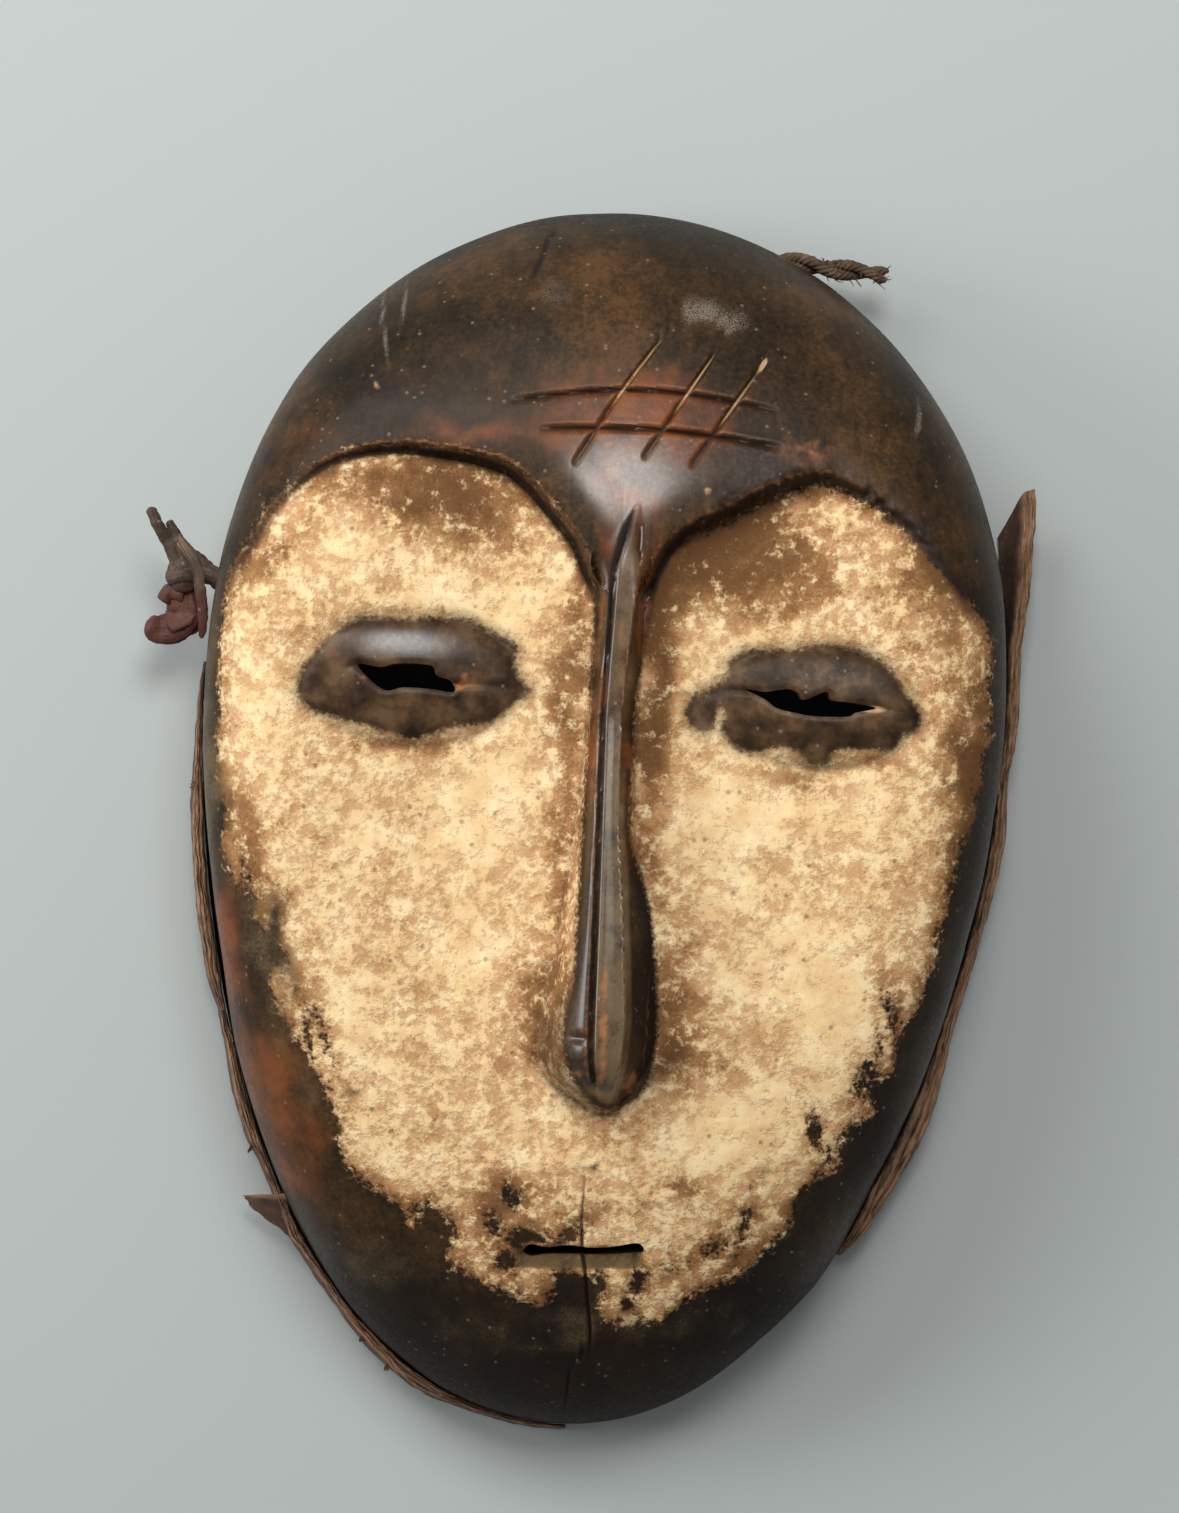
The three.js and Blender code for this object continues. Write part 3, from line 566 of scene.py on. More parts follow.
def read_places(mesh):
    """The places of a mesh's vertices, one a row."""
    flat = np.empty(len(mesh.vertices) * 3)
    mesh.vertices.foreach_get("co", flat)
    return flat.reshape(-1, 3)


def write_places(mesh, places):
    """Moves a mesh's vertices to new places."""
    mesh.vertices.foreach_set("co", np.ascontiguousarray(places, dtype=np.float32).ravel())
    mesh.update()


def read_normals(mesh):
    """The vertices' normals, one a row."""
    flat = np.empty(len(mesh.vertices) * 3, np.float32)
    mesh.vertices.foreach_get("normal", flat)
    return flat.reshape(-1, 3).astype(float)


# %% Where the outside needs detail
DETAIL_BOXES = [
    # left, right, lowest and highest y, lowest z: nose, mouth, cuts, both cracks
    (-11, 17, -63, 64, -1), (-13.5, 18.5, -94, -81, -1), (-23, 34, 67, 102, -1),
    (-0.5, 5.5, -200, -65, 8), (-20, -13, 106, 200, 15),
]


def needs_detail(x, y, z):
    """Whether a place on the outside lies in fine carving."""
    fine = np.zeros(x.shape, bool)
    for left, right, low, high, lowest in DETAIL_BOXES:
        fine |= (x > left) & (x < right) & (y > low) & (y < high) & (z > lowest)
    for eye in EYES:
        (cx, cy), (hx, hy) = eye["middle"], eye["half"]
        fine |= ((x - cx) / (hx + 2)) ** 2 + ((y - cy) / (hy + 3)) ** 2 < 1
    brow, _ = from_line(x, y, brow_line[4:-4])
    return fine | (brow < 3) & (y > 42) & (z > 20)


# %% Outside grid, divided where the carving is fine
def outside_mesh():
    """The disc of the outside, flat as yet: its vertices keep their place in the square."""
    bm = bmesh.new()
    bmesh.ops.create_grid(bm, x_segments=OUTSIDE_SIDE, y_segments=OUTSIDE_SIDE, size=1)
    middles = np.array([face.calc_center_median() for face in bm.faces])
    fine = needs_detail(*outside_place(middles[:, 0], middles[:, 1]))
    chosen_faces = [face for face, chosen in zip(bm.faces, fine) if chosen]
    edges = list(dict.fromkeys(edge for face in chosen_faces for edge in face.edges))
    bmesh.ops.subdivide_edges(bm, edges=edges, cuts=1, use_grid_fill=True)
    bmesh.ops.triangulate(bm, faces=[face for face in bm.faces if len(face.verts) > 4])
    return to_mesh("mask_outside", bm)


outside = outside_mesh()
print("outside grid:", len(outside.polygons), "faces")

# %% Where the clay has flaked off
CLAY_LOST = [
    # x, y, half width, half height, lean in degrees
    (-15.8, -82.7, 1.5, 2.6, 30), (-12, -77.6, 0.9, 1.3, -20), (-13.6, -75.5, 0.8, 0.8, 0),
    (-9, -85.4, 3.8, 1.7, 0), (-0.9, -84.4, 3.1, 1.5, 38), (-12.7, -90.1, 2, 2.2, 0),
    (0.1, -94.5, 1.7, 3.2, 8), (2, -97.1, 1.4, 4, 0), (6.1, -94.3, 1.3, 3.2, 0),
    (13.7, -92.8, 1.3, 2.2, -25), (12.2, -97.9, 1.3, 1.2, 0), (61.2, -35.9, 0.8, 2.6, 22),
    (57, -47.1, 1, 1.4, 0), (55.5, -51.1, 1.1, 2, -15), (58.3, -50.1, 1, 3.2, -10),
    (59, -43.9, 0.5, 1.4, 0), (47.1, -60.7, 1, 2.8, 15), (28.4, -85.2, 2.8, 1.1, 35),
    (34.2, -81.5, 0.6, 3, -6), (44.8, -79.5, 1.6, 3.2, -35), (50.5, -66, 0.8, 2.2, -20),
    (-30.6, -81.2, 2, 1.5, 0), (-51.3, -47, 0.7, 3, 20), (-54.3, -48.3, 0.6, 3.4, 12),
    (-52.6, -61.2, 2.2, 4.5, 10), (-68.2, -20.3, 1.3, 4.6, 8), (20, -90, 1, 1.2, 0),
]


PAINTED_ABOVE = 14
NOT_PAINTED = -20


def clay_reach(points):
    """How far inside the clay's ragged edge each point lies, below 0 where there is none."""
    x, y, z = points.T
    ragged = ripple(points, 5, 4, seed=3) * 1.6 * ease(30 - y, -8, 4)
    ragged += ripple(points, 2, 2, seed=5) * 0.5
    bare_brow = RIGHT_BROW_BARE * right_side(x) * ease(y, 44, 54)
    gap = inside_of(x, y, clay_outline) - bare_brow + ragged
    for cx, cy, half_x, half_y, lean in CLAY_LOST:
        turn = math.radians(lean)
        u = (x - cx) * math.cos(turn) + (y - cy) * math.sin(turn)
        v = (y - cy) * math.cos(turn) - (x - cx) * math.sin(turn)
        away = np.hypot(u / half_x, v / half_y) - 1
        gap = np.minimum(gap, away * min(half_x, half_y) + 0.5 * ragged)
    return np.where(z > PAINTED_ABOVE, gap, NOT_PAINTED)


def dark_reaches(points):
    """How far inside the dark paint of the eyes, and of the nose, each point lies."""
    x, y, z = points.T
    eyes = np.maximum(*[inside_of(x, y, outline) for outline in eye_outlines])
    return eyes, np.where(z > PAINTED_ABOVE, inside_of(x, y, nose_outline), NOT_PAINTED)


def brow_reach(x, y):
    """How far below the brow line a place lies, negative on the forehead."""
    gap, _ = from_line(x, y, brow_line)
    return np.where(inside_of(x, y, brow_region) > 0, gap, -gap)


# %% [markdown]
# ## Carving the outside
# First the dome gets the broad unevenness of handwork, along its normals. Everything else
# is carved straight down, as a height over the plan, the nose as whichever of nose and
# face is higher. Above the brow line the nose goes over into a wedge cut into the forehead.
# Carving in one direction only can't fold the surface over itself, and the boolean that
# comes later needs a surface without folds.

# %% Unevenness of the wall
WALL_SHIFTS = [
    # direction in degrees, how far the wall stands out (or in) there
    (-60, 0.6), (-50, 1.8), (-46, 1.6), (-42, 0.9), (-37, 0.2), (-31, 0.4), (-26, 0.6),
    (-20, 0.3), (-9, -0.2), (-4, 0), (-1, -0.2), (2.5, -0.5), (10, -0.5), (18, -0.4),
    (24, -0.1), (60, 0), (140, 0),
    (153, -0.9), (160, -1.3), (175, -1.3), (187, -1.4), (196, -1.2), (204, -0.4), (212, -0.5),
    (232, -0.6), (246, -0.5), (252, 0), (262, 0), (300, 0.6),
]


def wall_shift(x, y):
    """How far the handmade wall stands out from the plain form."""
    turn = np.degrees(np.arctan2((y - RIM_MIDDLE_Y) / RIM_HALF_LENGTH, x / RIM_HALF_WIDTH[0]))
    degrees, shifts = np.array(WALL_SHIFTS).T
    turn = np.mod(turn - degrees[0], 360) + degrees[0]
    return np.interp(turn, degrees, shifts)


def wall_share(z):
    """The wall's shift starts above the rim and fades out on the front."""
    return ease(z, 2, 12) * (1 - ease(z, 33, 50))


# %% Carve the dome, the face and the nose
WAVY = 0.3
WEDGE_EDGE = 0.5
WEDGE_SINK = 0.6

square = read_places(outside)
dome = np.column_stack(outside_place(square[:, 0], square[:, 1]))
write_places(outside, dome)
uneven = WAVY * ripple(dome, (26, 34, 26), 2, seed=1) * ease(dome[:, 2], 0, 8)
dome = dome + read_normals(outside) * uneven[:, None]
swell = wall_shift(dome[:, 0], dome[:, 1]) * wall_share(dome[:, 2])
from_middle = np.hypot(dome[:, 0], dome[:, 1] - RIM_MIDDLE_Y) + 1e-6
dome[:, 0] += swell * dome[:, 0] / from_middle
dome[:, 1] += swell * (dome[:, 1] - RIM_MIDDLE_Y) / from_middle
x, y, z = dome.T
front = ease(z, 12, 30)
brow = brow_reach(x, y)
chisel = ripple(dome, 2.6, 3, seed=13) * (0.18 + 0.75 * right_side(x))
carved = z - face_fall(x, y, brow + chisel) * front
nose_height, strip_left, strip_right = nose_form(x, y)
face_level = z + FACE_RUN_OUT - face_depth(x, y)
nose_level = face_level + nose_height
on_wedge = (brow < 0) & (y > 38)
inlaid = on_wedge & (nose_height > 0) & (y < NOSE_TOP)
edge_cut = bell(x, strip_left, 0.7) + bell(x, strip_right, 0.7)
wedge_cut = np.where(inlaid, WEDGE_EDGE * edge_cut * ease(NOSE_TOP - y, 0, 8), 0)
within = inlaid & (x > strip_left) & (x < strip_right)
wedge = carved - wedge_cut - np.where(within, WEDGE_SINK * bell(y, 53, 6), 0)
joined = nose_level + (wedge - nose_level) * ease(y, 40, 54)
wedge = np.where(nose_height > 0, joined, wedge)
carved = np.where(on_wedge, wedge, np.maximum(carved, nose_level))
carved += (eye_form(x, y) + lid_form(x, y) + mouth_form(x, y)) * front
cut_height, _, _ = cut_form(x, y)
carved += cut_height * front - CRACK_DEPTH * crack_form(x, y) * ease(z, 4, 12)
print(f"the carving reaches {carved.max():.1f} mm above the rim")

# %% Crust of the clay
CLAY_STEP = 0.28
CLAY_CRUST = 0.16
EYE_RIM_DEPTH = 0.25
ROUGH_PATCH = {"middle": (27, 57), "half": (20, 11), "height": 0.38}

clay_gap = clay_reach(dome)
eye_gap, nose_gap = dark_reaches(dome)
crusted = ease(clay_gap, -0.3, 0.5) * (1 - ease(eye_gap, -0.6, 0.6)) * (1 - ease(nose_gap, -1, 1))
crust = CLAY_CRUST * ripple(dome, 3.2, 3, seed=7)
(rx, ry), (rw, rh) = ROUGH_PATCH["middle"], ROUGH_PATCH["half"]
rough = ROUGH_PATCH["height"] * bell(np.hypot((x - rx) / rw, (y - ry) / rh), 0, 1)
crust += rough * ripple(dome, (4.5, 2.2, 3), 3, seed=9)
carved += crusted * (CLAY_STEP + crust) - EYE_RIM_DEPTH * bell(eye_gap, 0, 1)
write_places(outside, np.column_stack([x, y, carved]))
print(f"clay covers {np.mean(clay_gap > 0):.0%} of the outside's vertices")


# %% [markdown]
# ## The hollow
# The back was hollowed with an adze, so its surface is a field of shallow scoops that
# meet in low ridges. A cell pattern gives them: each scoop is deepest at the middle of
# its cell.

# %% Hollow with adze marks
SCOOP_SIZE = (11, 17, 11)
SCOOP_DEPTH = 0.7
SCOOP_ROUGHNESS = 0.2
hollow_bm = bmesh.new()
bmesh.ops.create_grid(hollow_bm, x_segments=HOLLOW_SIDE, y_segments=HOLLOW_SIDE, size=1)
bmesh.ops.reverse_faces(hollow_bm, faces=hollow_bm.faces)
hollow = to_mesh("mask_hollow", hollow_bm)
square = read_places(hollow)
t, turn = square_to_disc(square[:, 0], square[:, 1])
hx, hy, hz = shell_point(t, turn, HOLLOW_CORNER, WALL_THICKNESS, FRONT_THICKNESS, HOLLOW_SQUARENESS)
hz = hz - face_depth(hx, hy) * (1 - t)
places = np.column_stack([hx, hy, hz])
write_places(hollow, places)
scoops = np.array([noise.voronoi(p)[0][0] for p in places / np.array(SCOOP_SIZE)])
depth = SCOOP_DEPTH * (0.5 - scoops) * ease(hz, 1, 8)
depth = depth + SCOOP_ROUGHNESS * ripple(places, 4, 3, seed=2) * ease(hz, 0.5, 4)
write_places(hollow, places - read_normals(hollow) * np.clip(depth, -1, 0.6)[:, None])
print("hollow grid:", len(hollow.polygons), "faces")

# %% Join the two at the rim
OUTSIDE_FINISH, BARE_FINISH = 0, 1


def open_edges(bm):
    """The edges that have a face on one side only."""
    return [edge for edge in bm.edges if edge.is_boundary]


mask_bm = bmesh.new()
mask_bm.from_mesh(outside)
outer_faces = set(mask_bm.faces)
mask_bm.from_mesh(hollow)
for face in mask_bm.faces:
    face.material_index = OUTSIDE_FINISH if face in outer_faces else BARE_FINISH
rim = bmesh.ops.bridge_loops(mask_bm, edges=open_edges(mask_bm))
for face in rim["faces"]:
    face.material_index = BARE_FINISH
into_frame(mask_bm)
mask_mesh = to_mesh("mask_carved", mask_bm)
print("mask:", len(mask_mesh.polygons), "faces,", len(rim["faces"]), "of them on the rim")


# %% [markdown]
# ## Strands and cutters
# Ties, frayed threads and the cutters of the ties' holes are all a round bar bent along a
# line. A cylinder divided along its length is bent vertex by vertex. Each bar keeps an
# attribute with its own length and turn, so that fibres can run along it.

# %% From a bmesh to a piece
FIBRE = "fibre"
SHARP_EDGE = 50


def finish_piece(name, bm):
    """Makes an object of a bmesh whose measures are the mask's, in millimetres."""
    into_frame(bm)
    mesh = to_mesh(name, bm)
    mesh.shade_smooth()
    mesh.set_sharp_from_angle(angle=math.radians(SHARP_EDGE))
    return show(name, mesh)


def place_verts(bm, places, fibre):
    """Moves a bmesh's vertices to places and stores the fibre coordinates of each."""
    layer = bm.verts.layers.float_vector.new(FIBRE)
    for vert, place, strand in zip(bm.verts, places, fibre):
        vert.co = place
        vert[layer] = strand


def add_to(bm, part):
    """Adds a finished part to a bmesh and frees it."""
    carrier = to_mesh("carrier", part)
    bm.from_mesh(carrier)
    bpy.data.meshes.remove(carrier)


# %% Along a line, and a bar bent along it
def measured(points):
    """The length of the smooth line through a few points, and a function that gives its
    places at distances from its start."""
    way = smooth_line(points, steps=12)
    lengths = np.concatenate([[0], np.cumsum(np.linalg.norm(np.diff(way, axis=0), axis=1))])

    def on_way(distance):
        return np.column_stack([np.interp(distance, lengths, way[:, k]) for k in range(3)])
    return lengths[-1], on_way


def level_across(along):
    """Level directions, of length 1, across the directions in the rows of along."""
    across = np.column_stack([-along[:, 1], along[:, 0], np.zeros(len(along))])
    return across / np.maximum(np.linalg.norm(across, axis=1), 1e-6)[:, None]


def bent_bar(bm, points, radii, flatness=1.0, turns=0.0, sides=12, rings=40, rough=0.0, ply=0,
             seed=0):
    """Adds a bar to a bmesh. It follows points, its radius runs through radii, flatness
    presses it, turns twist it, and ply gives it the waists of a twisted cord."""
    bar = bmesh.new()
    bmesh.ops.create_cone(bar, cap_ends=True, segments=sides, radius1=1, radius2=1, depth=1)
    uprights = [edge for edge in bar.edges if abs(edge.verts[0].co.z - edge.verts[1].co.z) > 0.5]
    bmesh.ops.subdivide_edges(bar, edges=uprights, cuts=rings - 1)
    local = np.array([vert.co for vert in bar.verts])
    length, on_way = measured(points)
    at = (local[:, 2] + 0.5) * length
    share = at / length
    along = on_way(at + 0.3) - on_way(at - 0.3)
    along /= np.linalg.norm(along, axis=1)[:, None]
    across = level_across(along)
    up = np.cross(along, across)
    angle = np.arctan2(local[:, 1], local[:, 0])
    twist = 2 * np.pi * turns * share
    radius = np.interp(share, np.linspace(0, 1, len(radii)), radii)
    radius = radius * np.sqrt(np.clip(1 - np.abs(2 * share - 1) ** 24, 0.15, 1))
    if ply:
        radius = radius * (0.8 + 0.2 * np.abs(np.cos(ply * angle / 2)))
    wide = np.cos(angle) * radius
    tall = np.sin(angle) * radius * flatness
    turned_wide = wide * np.cos(twist) - tall * np.sin(twist)
    turned_tall = wide * np.sin(twist) + tall * np.cos(twist)
    offset = across * turned_wide[:, None] + up * turned_tall[:, None]
    places = on_way(at) + offset
    if rough:
        bumps = ripple(places, 1.8, 3, seed=seed + 11) * rough
        places = places + offset * (bumps / np.maximum(radius, 0.3))[:, None]
    fibre = np.column_stack([at, 2 * np.cos(angle) + 7 * seed, 2 * np.sin(angle)])
    place_verts(bar, places, fibre)
    add_to(bm, bar)


# %% Cut the slits and the holes
HOLE_RADIUS = 2.9
TIE_LEFT_HEIGHT = 17
TIE_TOP_HEIGHT = 12
LEFT_HOLE = [(-70, 41.5), (-79, 43.5), (-88, 46.6)]
TOP_HOLE = [(18, 106.9), (27.3, 113.8), (32, 116.4), (37, 116.3), (42, 115.6)]
SLIT_BOTTOM, SLIT_TOP = 20, 75
SHARP_CARVING = 48


def at_height(points, height):
    """Gives points of the plan a height; a third number of a point is added to it."""
    return [(*point[:2], height + (point[2] if len(point) > 2 else 0)) for point in points]


cutter_bm = bmesh.new()
for outline in slit_lines.values():
    made = bmesh.ops.create_circle(cutter_bm, cap_ends=True, segments=len(outline), radius=1)
    for vert, (px, py) in zip(made["verts"], outline):
        vert.co = (px, py, SLIT_BOTTOM)
    base = list({face for vert in made["verts"] for face in vert.link_faces})
    raised = bmesh.ops.extrude_face_region(cutter_bm, geom=base, use_keep_orig=True)
    tops = [item for item in raised["geom"] if isinstance(item, bmesh.types.BMVert)]
    bmesh.ops.translate(cutter_bm, vec=(0, 0, SLIT_TOP - SLIT_BOTTOM), verts=tops)
bent_bar(cutter_bm, at_height(LEFT_HOLE, TIE_LEFT_HEIGHT), [HOLE_RADIUS] * 2, sides=20, rings=6)
bent_bar(cutter_bm, at_height(TOP_HOLE, TIE_TOP_HEIGHT), [HOLE_RADIUS] * 2, sides=20, rings=12)
for face in cutter_bm.faces:
    face.material_index = BARE_FINISH
cutter = finish_piece("cutter", cutter_bm)
mask_piece = show("mask_carving", mask_mesh)
painted_wood = bpy.data.materials.new("painted_wood")
bare_wood = bpy.data.materials.new("bare_wood")
for mesh in (mask_mesh, cutter.data):
    mesh.materials.append(painted_wood)
    mesh.materials.append(bare_wood)


def cut_away(piece, tool):
    """Cuts a tool out of a piece for good, and removes the tool."""
    cut = piece.modifiers.new("cut", "BOOLEAN")
    cut.operation = "DIFFERENCE"
    cut.solver = "EXACT"
    cut.object = tool
    depsgraph = bpy.context.evaluated_depsgraph_get()
    shape = bpy.data.meshes.new_from_object(piece.evaluated_get(depsgraph))
    piece.modifiers.clear()
    piece.data = shape
    bpy.data.objects.remove(tool)


cut_away(mask_piece, cutter)
mesh = mask_piece.data
mesh.shade_smooth()
mesh.set_sharp_from_angle(angle=math.radians(SHARP_CARVING))
mesh.calc_loop_triangles()
print("mask after cutting:", len(mesh.loop_triangles), "triangles")

# %% [markdown]
# ## What the surface remembers
# The finish changes from place to place: clay, stains on it, grime in the cuts, bare
# chips, red wood showing, grey dust and polish, and painted shade and sheen: shade beside the
# nose, under the brow, round the nose tip, on the chin, low on the walls and in hollows, and a
# sheen along the top edge. Each is an attribute on the vertices, worked out from the same
# lines as the carving, and the materials read them by name.

# %% Blotches on the plan
# Each blotch is an oval: x, y, half width, half height, strength.
LIGHT_CLAY = [
    (-22, 40, 15, 8, 0.7), (-15.5, 6.5, 16, 8, 0.9), (-66, 8, 6, 10, 0.6), (-47, -8, 4, 10, 0.9),
    (-27, -8, 9, 5, 0.6), (41, 40, 12, 6, 0.7), (30, 3, 18, 7, 1.2), (56, 6, 9, 8, 0.7),
    (25, -10, 5, 9, 0.7), (50, -38, 8, 9, 1.3), (53, -61, 6, 4, 0.8), (30, -60, 13, 9, 1.2),
    (38, -30, 13, 15, 0.8),
    (-48, -40, 8, 6, 0.7), (-50, -52, 4, 5, 0.6), (-22, -27, 9, 7, 0.6), (-38, -71, 7, 4, 0.7),
    (-52, 45, 9, 8, 0.4), (62, 42, 7, 7, 0.4), (-10, -62, 9, 6, 0.4), (14, -84, 8, 4, 0.3),
]
# Brown clay, and painted shade beside the nose, under its tip and under the brow
BROWN_AND_SHADED_CLAY = [
    (10, 47, 5, 12, 1.2), (9.5, 24, 4, 24, 0.9), (11, -4, 4, 14, 0.9), (16.5, -36, 6, 16, 0.8),
    (-5.5, 2, 3.5, 34, 0.9), (-8, -38, 6, 12, 1.0), (-6, 44, 3, 10, 0.6), (6, -61, 16, 4, 0.8),
    (66, 50, 6, 10, 1.5), (24, 48, 18, 11, 0.9), (-44, 62, 16, 6, 0.6), (72, 14, 4, 20, 0.9),
    (-40, 12, 14, 2.5, 0.5), (38, 10, 15, 3, 0.6), (-66, -12, 4, 12, 0.5), (0, -80, 22, 7, 0.3),
    (-30, 62, 20, 8, 1.1), (22, 57, 16, 9, 1.1), (-9, 20, 4, 22, 0.7), (11, 22, 4, 18, 0.8),
    (18, -46, 9, 9, 0.7), (-11, -46, 7, 10, 0.6), (73, 13, 3, 8, 0.8), (-69, 49, 6, 6, 0.8),
    (22, -74, 6, 4, 0.9), (-2, -98, 8, 4, 0.6), (-63, -25, 3, 7, 0.7), (52, 14, 9, 2.5, 0.7),
    (-27, 12, 9, 2.5, 0.6), (0, -75, 14, 6, 0.3), (-70, -5, 4, 14, 0.4), (60, -20, 9, 12, 0.3),
]
DARK_SPOTS = [
    (-12.8, -75.5, 0.9, 0.8, 0.8), (3.6, -69.8, 1, 0.8, 0.8), (14.4, -92, 0.9, 0.8, 0.9),
    (11.8, -98, 1, 0.7, 0.9), (61, -35, 1.3, 1, 0.8), (56, -48, 1.2, 1, 0.8), (47, -60, 1, 1, 0.8),
    (38, -69, 1, 0.8, 0.7), (-45, -58, 1.6, 1, 0.6), (-62.5, -24, 1.6, 4, 0.9),
    (-58, -38, 0.8, 2.2, 0.6),
]
# %% Patches of bare, dusty and dark wood, with painted shade and a painted sheen
RED_WOOD = [
    (-60, -60, 14, 26, 0.34),
    (7.2, 20, 1.6, 26, 1.2), (-1.4, 22, 1.6, 26, 0.9),
    (4, 80, 20, 10, 1.0), (4, 48, 5, 9, 0.8), (-74, -32, 5, 14, 1.4), (-58, -72, 9, 14, 0.45),
    (0, 64, 12, 6, 0.7), (-73, 40, 3, 14, 0.5), (-66, -56, 5, 10, 0.55),
    (38, 74, 10, 3, 0.4), (70, 0, 6, 25, 0.3), (-30, 74, 20, 3, 0.5), (-64, 68, 8, 14, 0.4),
    (3, -40, 9, 14, 0.3),
]
# Grey dust, and a painted sheen along the top edge of the forehead
GREY_DUST_AND_SHEEN = [
    (16.5, 101, 4.6, 2.6, 0.95), (22, 99.5, 3.2, 1.8, 0.6), (-14, 105, 6, 3.5, 0.4),
    (0, 121, 30, 3, 0.25), (30, 103, 12, 4, 0.12),
]
# Dark wood, with painted shade on the nose's right facet and on the chin
DARK_AND_SHADED_WOOD = [
    (13, -34, 5, 22, 1.2), (8.5, -8, 2.5, 14, 0.8),
    (0, -112, 34, 14, 1.0), (34, -100, 18, 12, 0.8), (-34, -100, 14, 10, 0.5), (58, -62, 8, 18, 0.7),
    (-2, -98, 6, 8, 0.6), (66, -30, 5, 20, 0.5), (-66, -32, 5, 12, 0.5), (66, 66, 10, 12, 0.3),
]
TAN_WEAR = [
    (-27.6, 24.6, 3.2, 1.6, 0.9), (-47.6, 24.4, 1.6, 1.2, 0.5),
    (3.4, -32, 0.9, 5, 0.8), (3.7, -41, 1.0, 4, 1.0), (3.9, -49, 0.9, 3.5, 0.8),
    (3, 34, 1.1, 12, 0.45), (2.4, 14, 1.0, 8, 0.45), (9.6, -52.5, 1.8, 2.6, 0.9),
    (-0.8, -50, 1.4, 1.8, 0.7), (2.6, -12, 0.8, 9, 0.25), (38, 75, 9, 2.2, 0.5),
    (-28, 75, 16, 2, 0.35), (12.3, -40, 0.35, 14, 0.5),
]
# Outline of a painted shadow round the nose tip, spreading to both sides below it
NOSE_TIP_SHADOW = [
    (-10.8, -43), (-7.9, -52), (-2.4, -57.2), (4.7, -60.5), (10.7, -58), (16.5, -53.4), (22.3, -46.8),
    (20, -45), (15, -46.5), (12, -30), (-4, -34),
]
OLIVE = [
    (-60, -36, 3.4, 7, 0.9), (-63, -27, 3, 4, 0.7), (-79, 8, 3, 26, 1.8),
    (40, 12.4, 11, 3, 1.0), (-38, 39, 16, 2, 0.5), (52, -24, 5, 5, 0.35), (-30, 11, 14, 1.6, 0.5),
    (-53, -57, 4, 7, 0.8), (22, 60, 12, 4, 0.5), (9.6, -103, 20, 4, 0.8), (-22, -104, 9, 5, 0.5),
    (30, -98, 8, 4, 0.7), (-66, -27, 4, 11, 0.9), (-61, -46, 4, 8, 0.8), (-36, -92, 10, 7, 0.8),
    (-8, -108, 14, 3, 0.5), (44, -84, 6, 6, 0.7), (66, 40, 6, 9, 0.7), (60, 55, 7, 6, 0.6),
    (-77, 48, 3, 9, 0.5), (71, -2, 3, 18, 0.35), (0, 45, 5, 6, 0.4),
]
LIGHT_CHIPS = [
    (-48.5, 83, 1.2, 0.7, 1), (18.3, 65.3, 1.1, 0.7, 1), (28, 92, 1.1, 0.7, 1), (-2, 62, 0.7, 0.6, 0.4),
    (53.5, 24.1, 3.2, 0.9, 0.9), (-16, 98.5, 4.5, 0.5, 0.4), (8, -42, 0.6, 5, 0.3),
]
POLISH = [(1, 66, 13, 9, 1.0), (-40, 79, 24, 4, 0.3), (0, 90, 25, 14, 0.2), (-40, 32, 14, 4, 0.9)]
SCRATCHES = [
    [(-50, 112), (-49, 98), (-46, 85)], [(-45, 110), (-45, 92)], [(60, 90), (60.5, 75)],
    [(-21, 100), (-10, 97)], [(36, -72), (36, -93)], [(-58, -36), (-60, -40), (-56, -40), (-58, -36)],
]


# %% Reading blotches and bends
def blotches(x, y, patches):
    """Soft oval patches that add up."""
    total = np.zeros(x.shape)
    for cx, cy, half_x, half_y, strength in patches:
        total += strength * np.exp(-(((x - cx) / half_x) ** 2) - ((y - cy) / half_y) ** 2)
    return total


def store(mesh, name, values):
    """Keeps one number for each vertex as an attribute."""
    attribute = mesh.attributes.new(name, "FLOAT", "POINT")
    attribute.data.foreach_set("value", np.ascontiguousarray(values, dtype=np.float32))


def bends(mesh, passes=3):
    """How far each vertex stands out from its neighbours, and how far it lies back, as
    two numbers from 0 to 1. Worn ridges are found by them, and hollows, which are darkened as dirt and
    painted shade."""
    ends = np.empty(len(mesh.edges) * 2, np.int32)
    mesh.edges.foreach_get("vertices", ends)
    first, second = ends.reshape(-1, 2).T
    places = read_places(mesh) / MM
    count = np.bincount(first, minlength=len(places)) + np.bincount(second, minlength=len(places))
    length = np.linalg.norm(places[first] - places[second], axis=1)
    total = np.bincount(first, length, len(places)) + np.bincount(second, length, len(places))
    spacing = total / count

    def spread(values):
        result = np.bincount(first, values[second], len(values))
        return (result + np.bincount(second, values[first], len(values))) / count
    middle = np.column_stack([spread(places[:, k]) for k in range(3)])
    lift = ((places - middle) * read_normals(mesh)).sum(1) / spacing**2
    for _ in range(passes):
        lift = 0.5 * lift + 0.5 * spread(lift)
    return np.clip(lift * 2.2 - 0.04, 0, 1), np.clip(-lift * 2.2 - 0.04, 0, 1)


# %% Strip, bevel, scratches, grime and painted shade
points = read_places(mesh) / MM - np.array([SHIFT_X, SHIFT_Y, 0])
x, y, z = points.T
fine_blur = ripple(points, 2.6, 3, seed=22)
jitter_x = x + 3.5 * ripple(points, 9, 3, seed=21) + 0.8 * fine_blur
jitter_y = y + 3.5 * ripple(points, 9, 3, seed=23) - 0.8 * fine_blur


def blurred(patches):
    """Blotches whose edges are blurred by noise."""
    return blotches(jitter_x, jitter_y, patches)


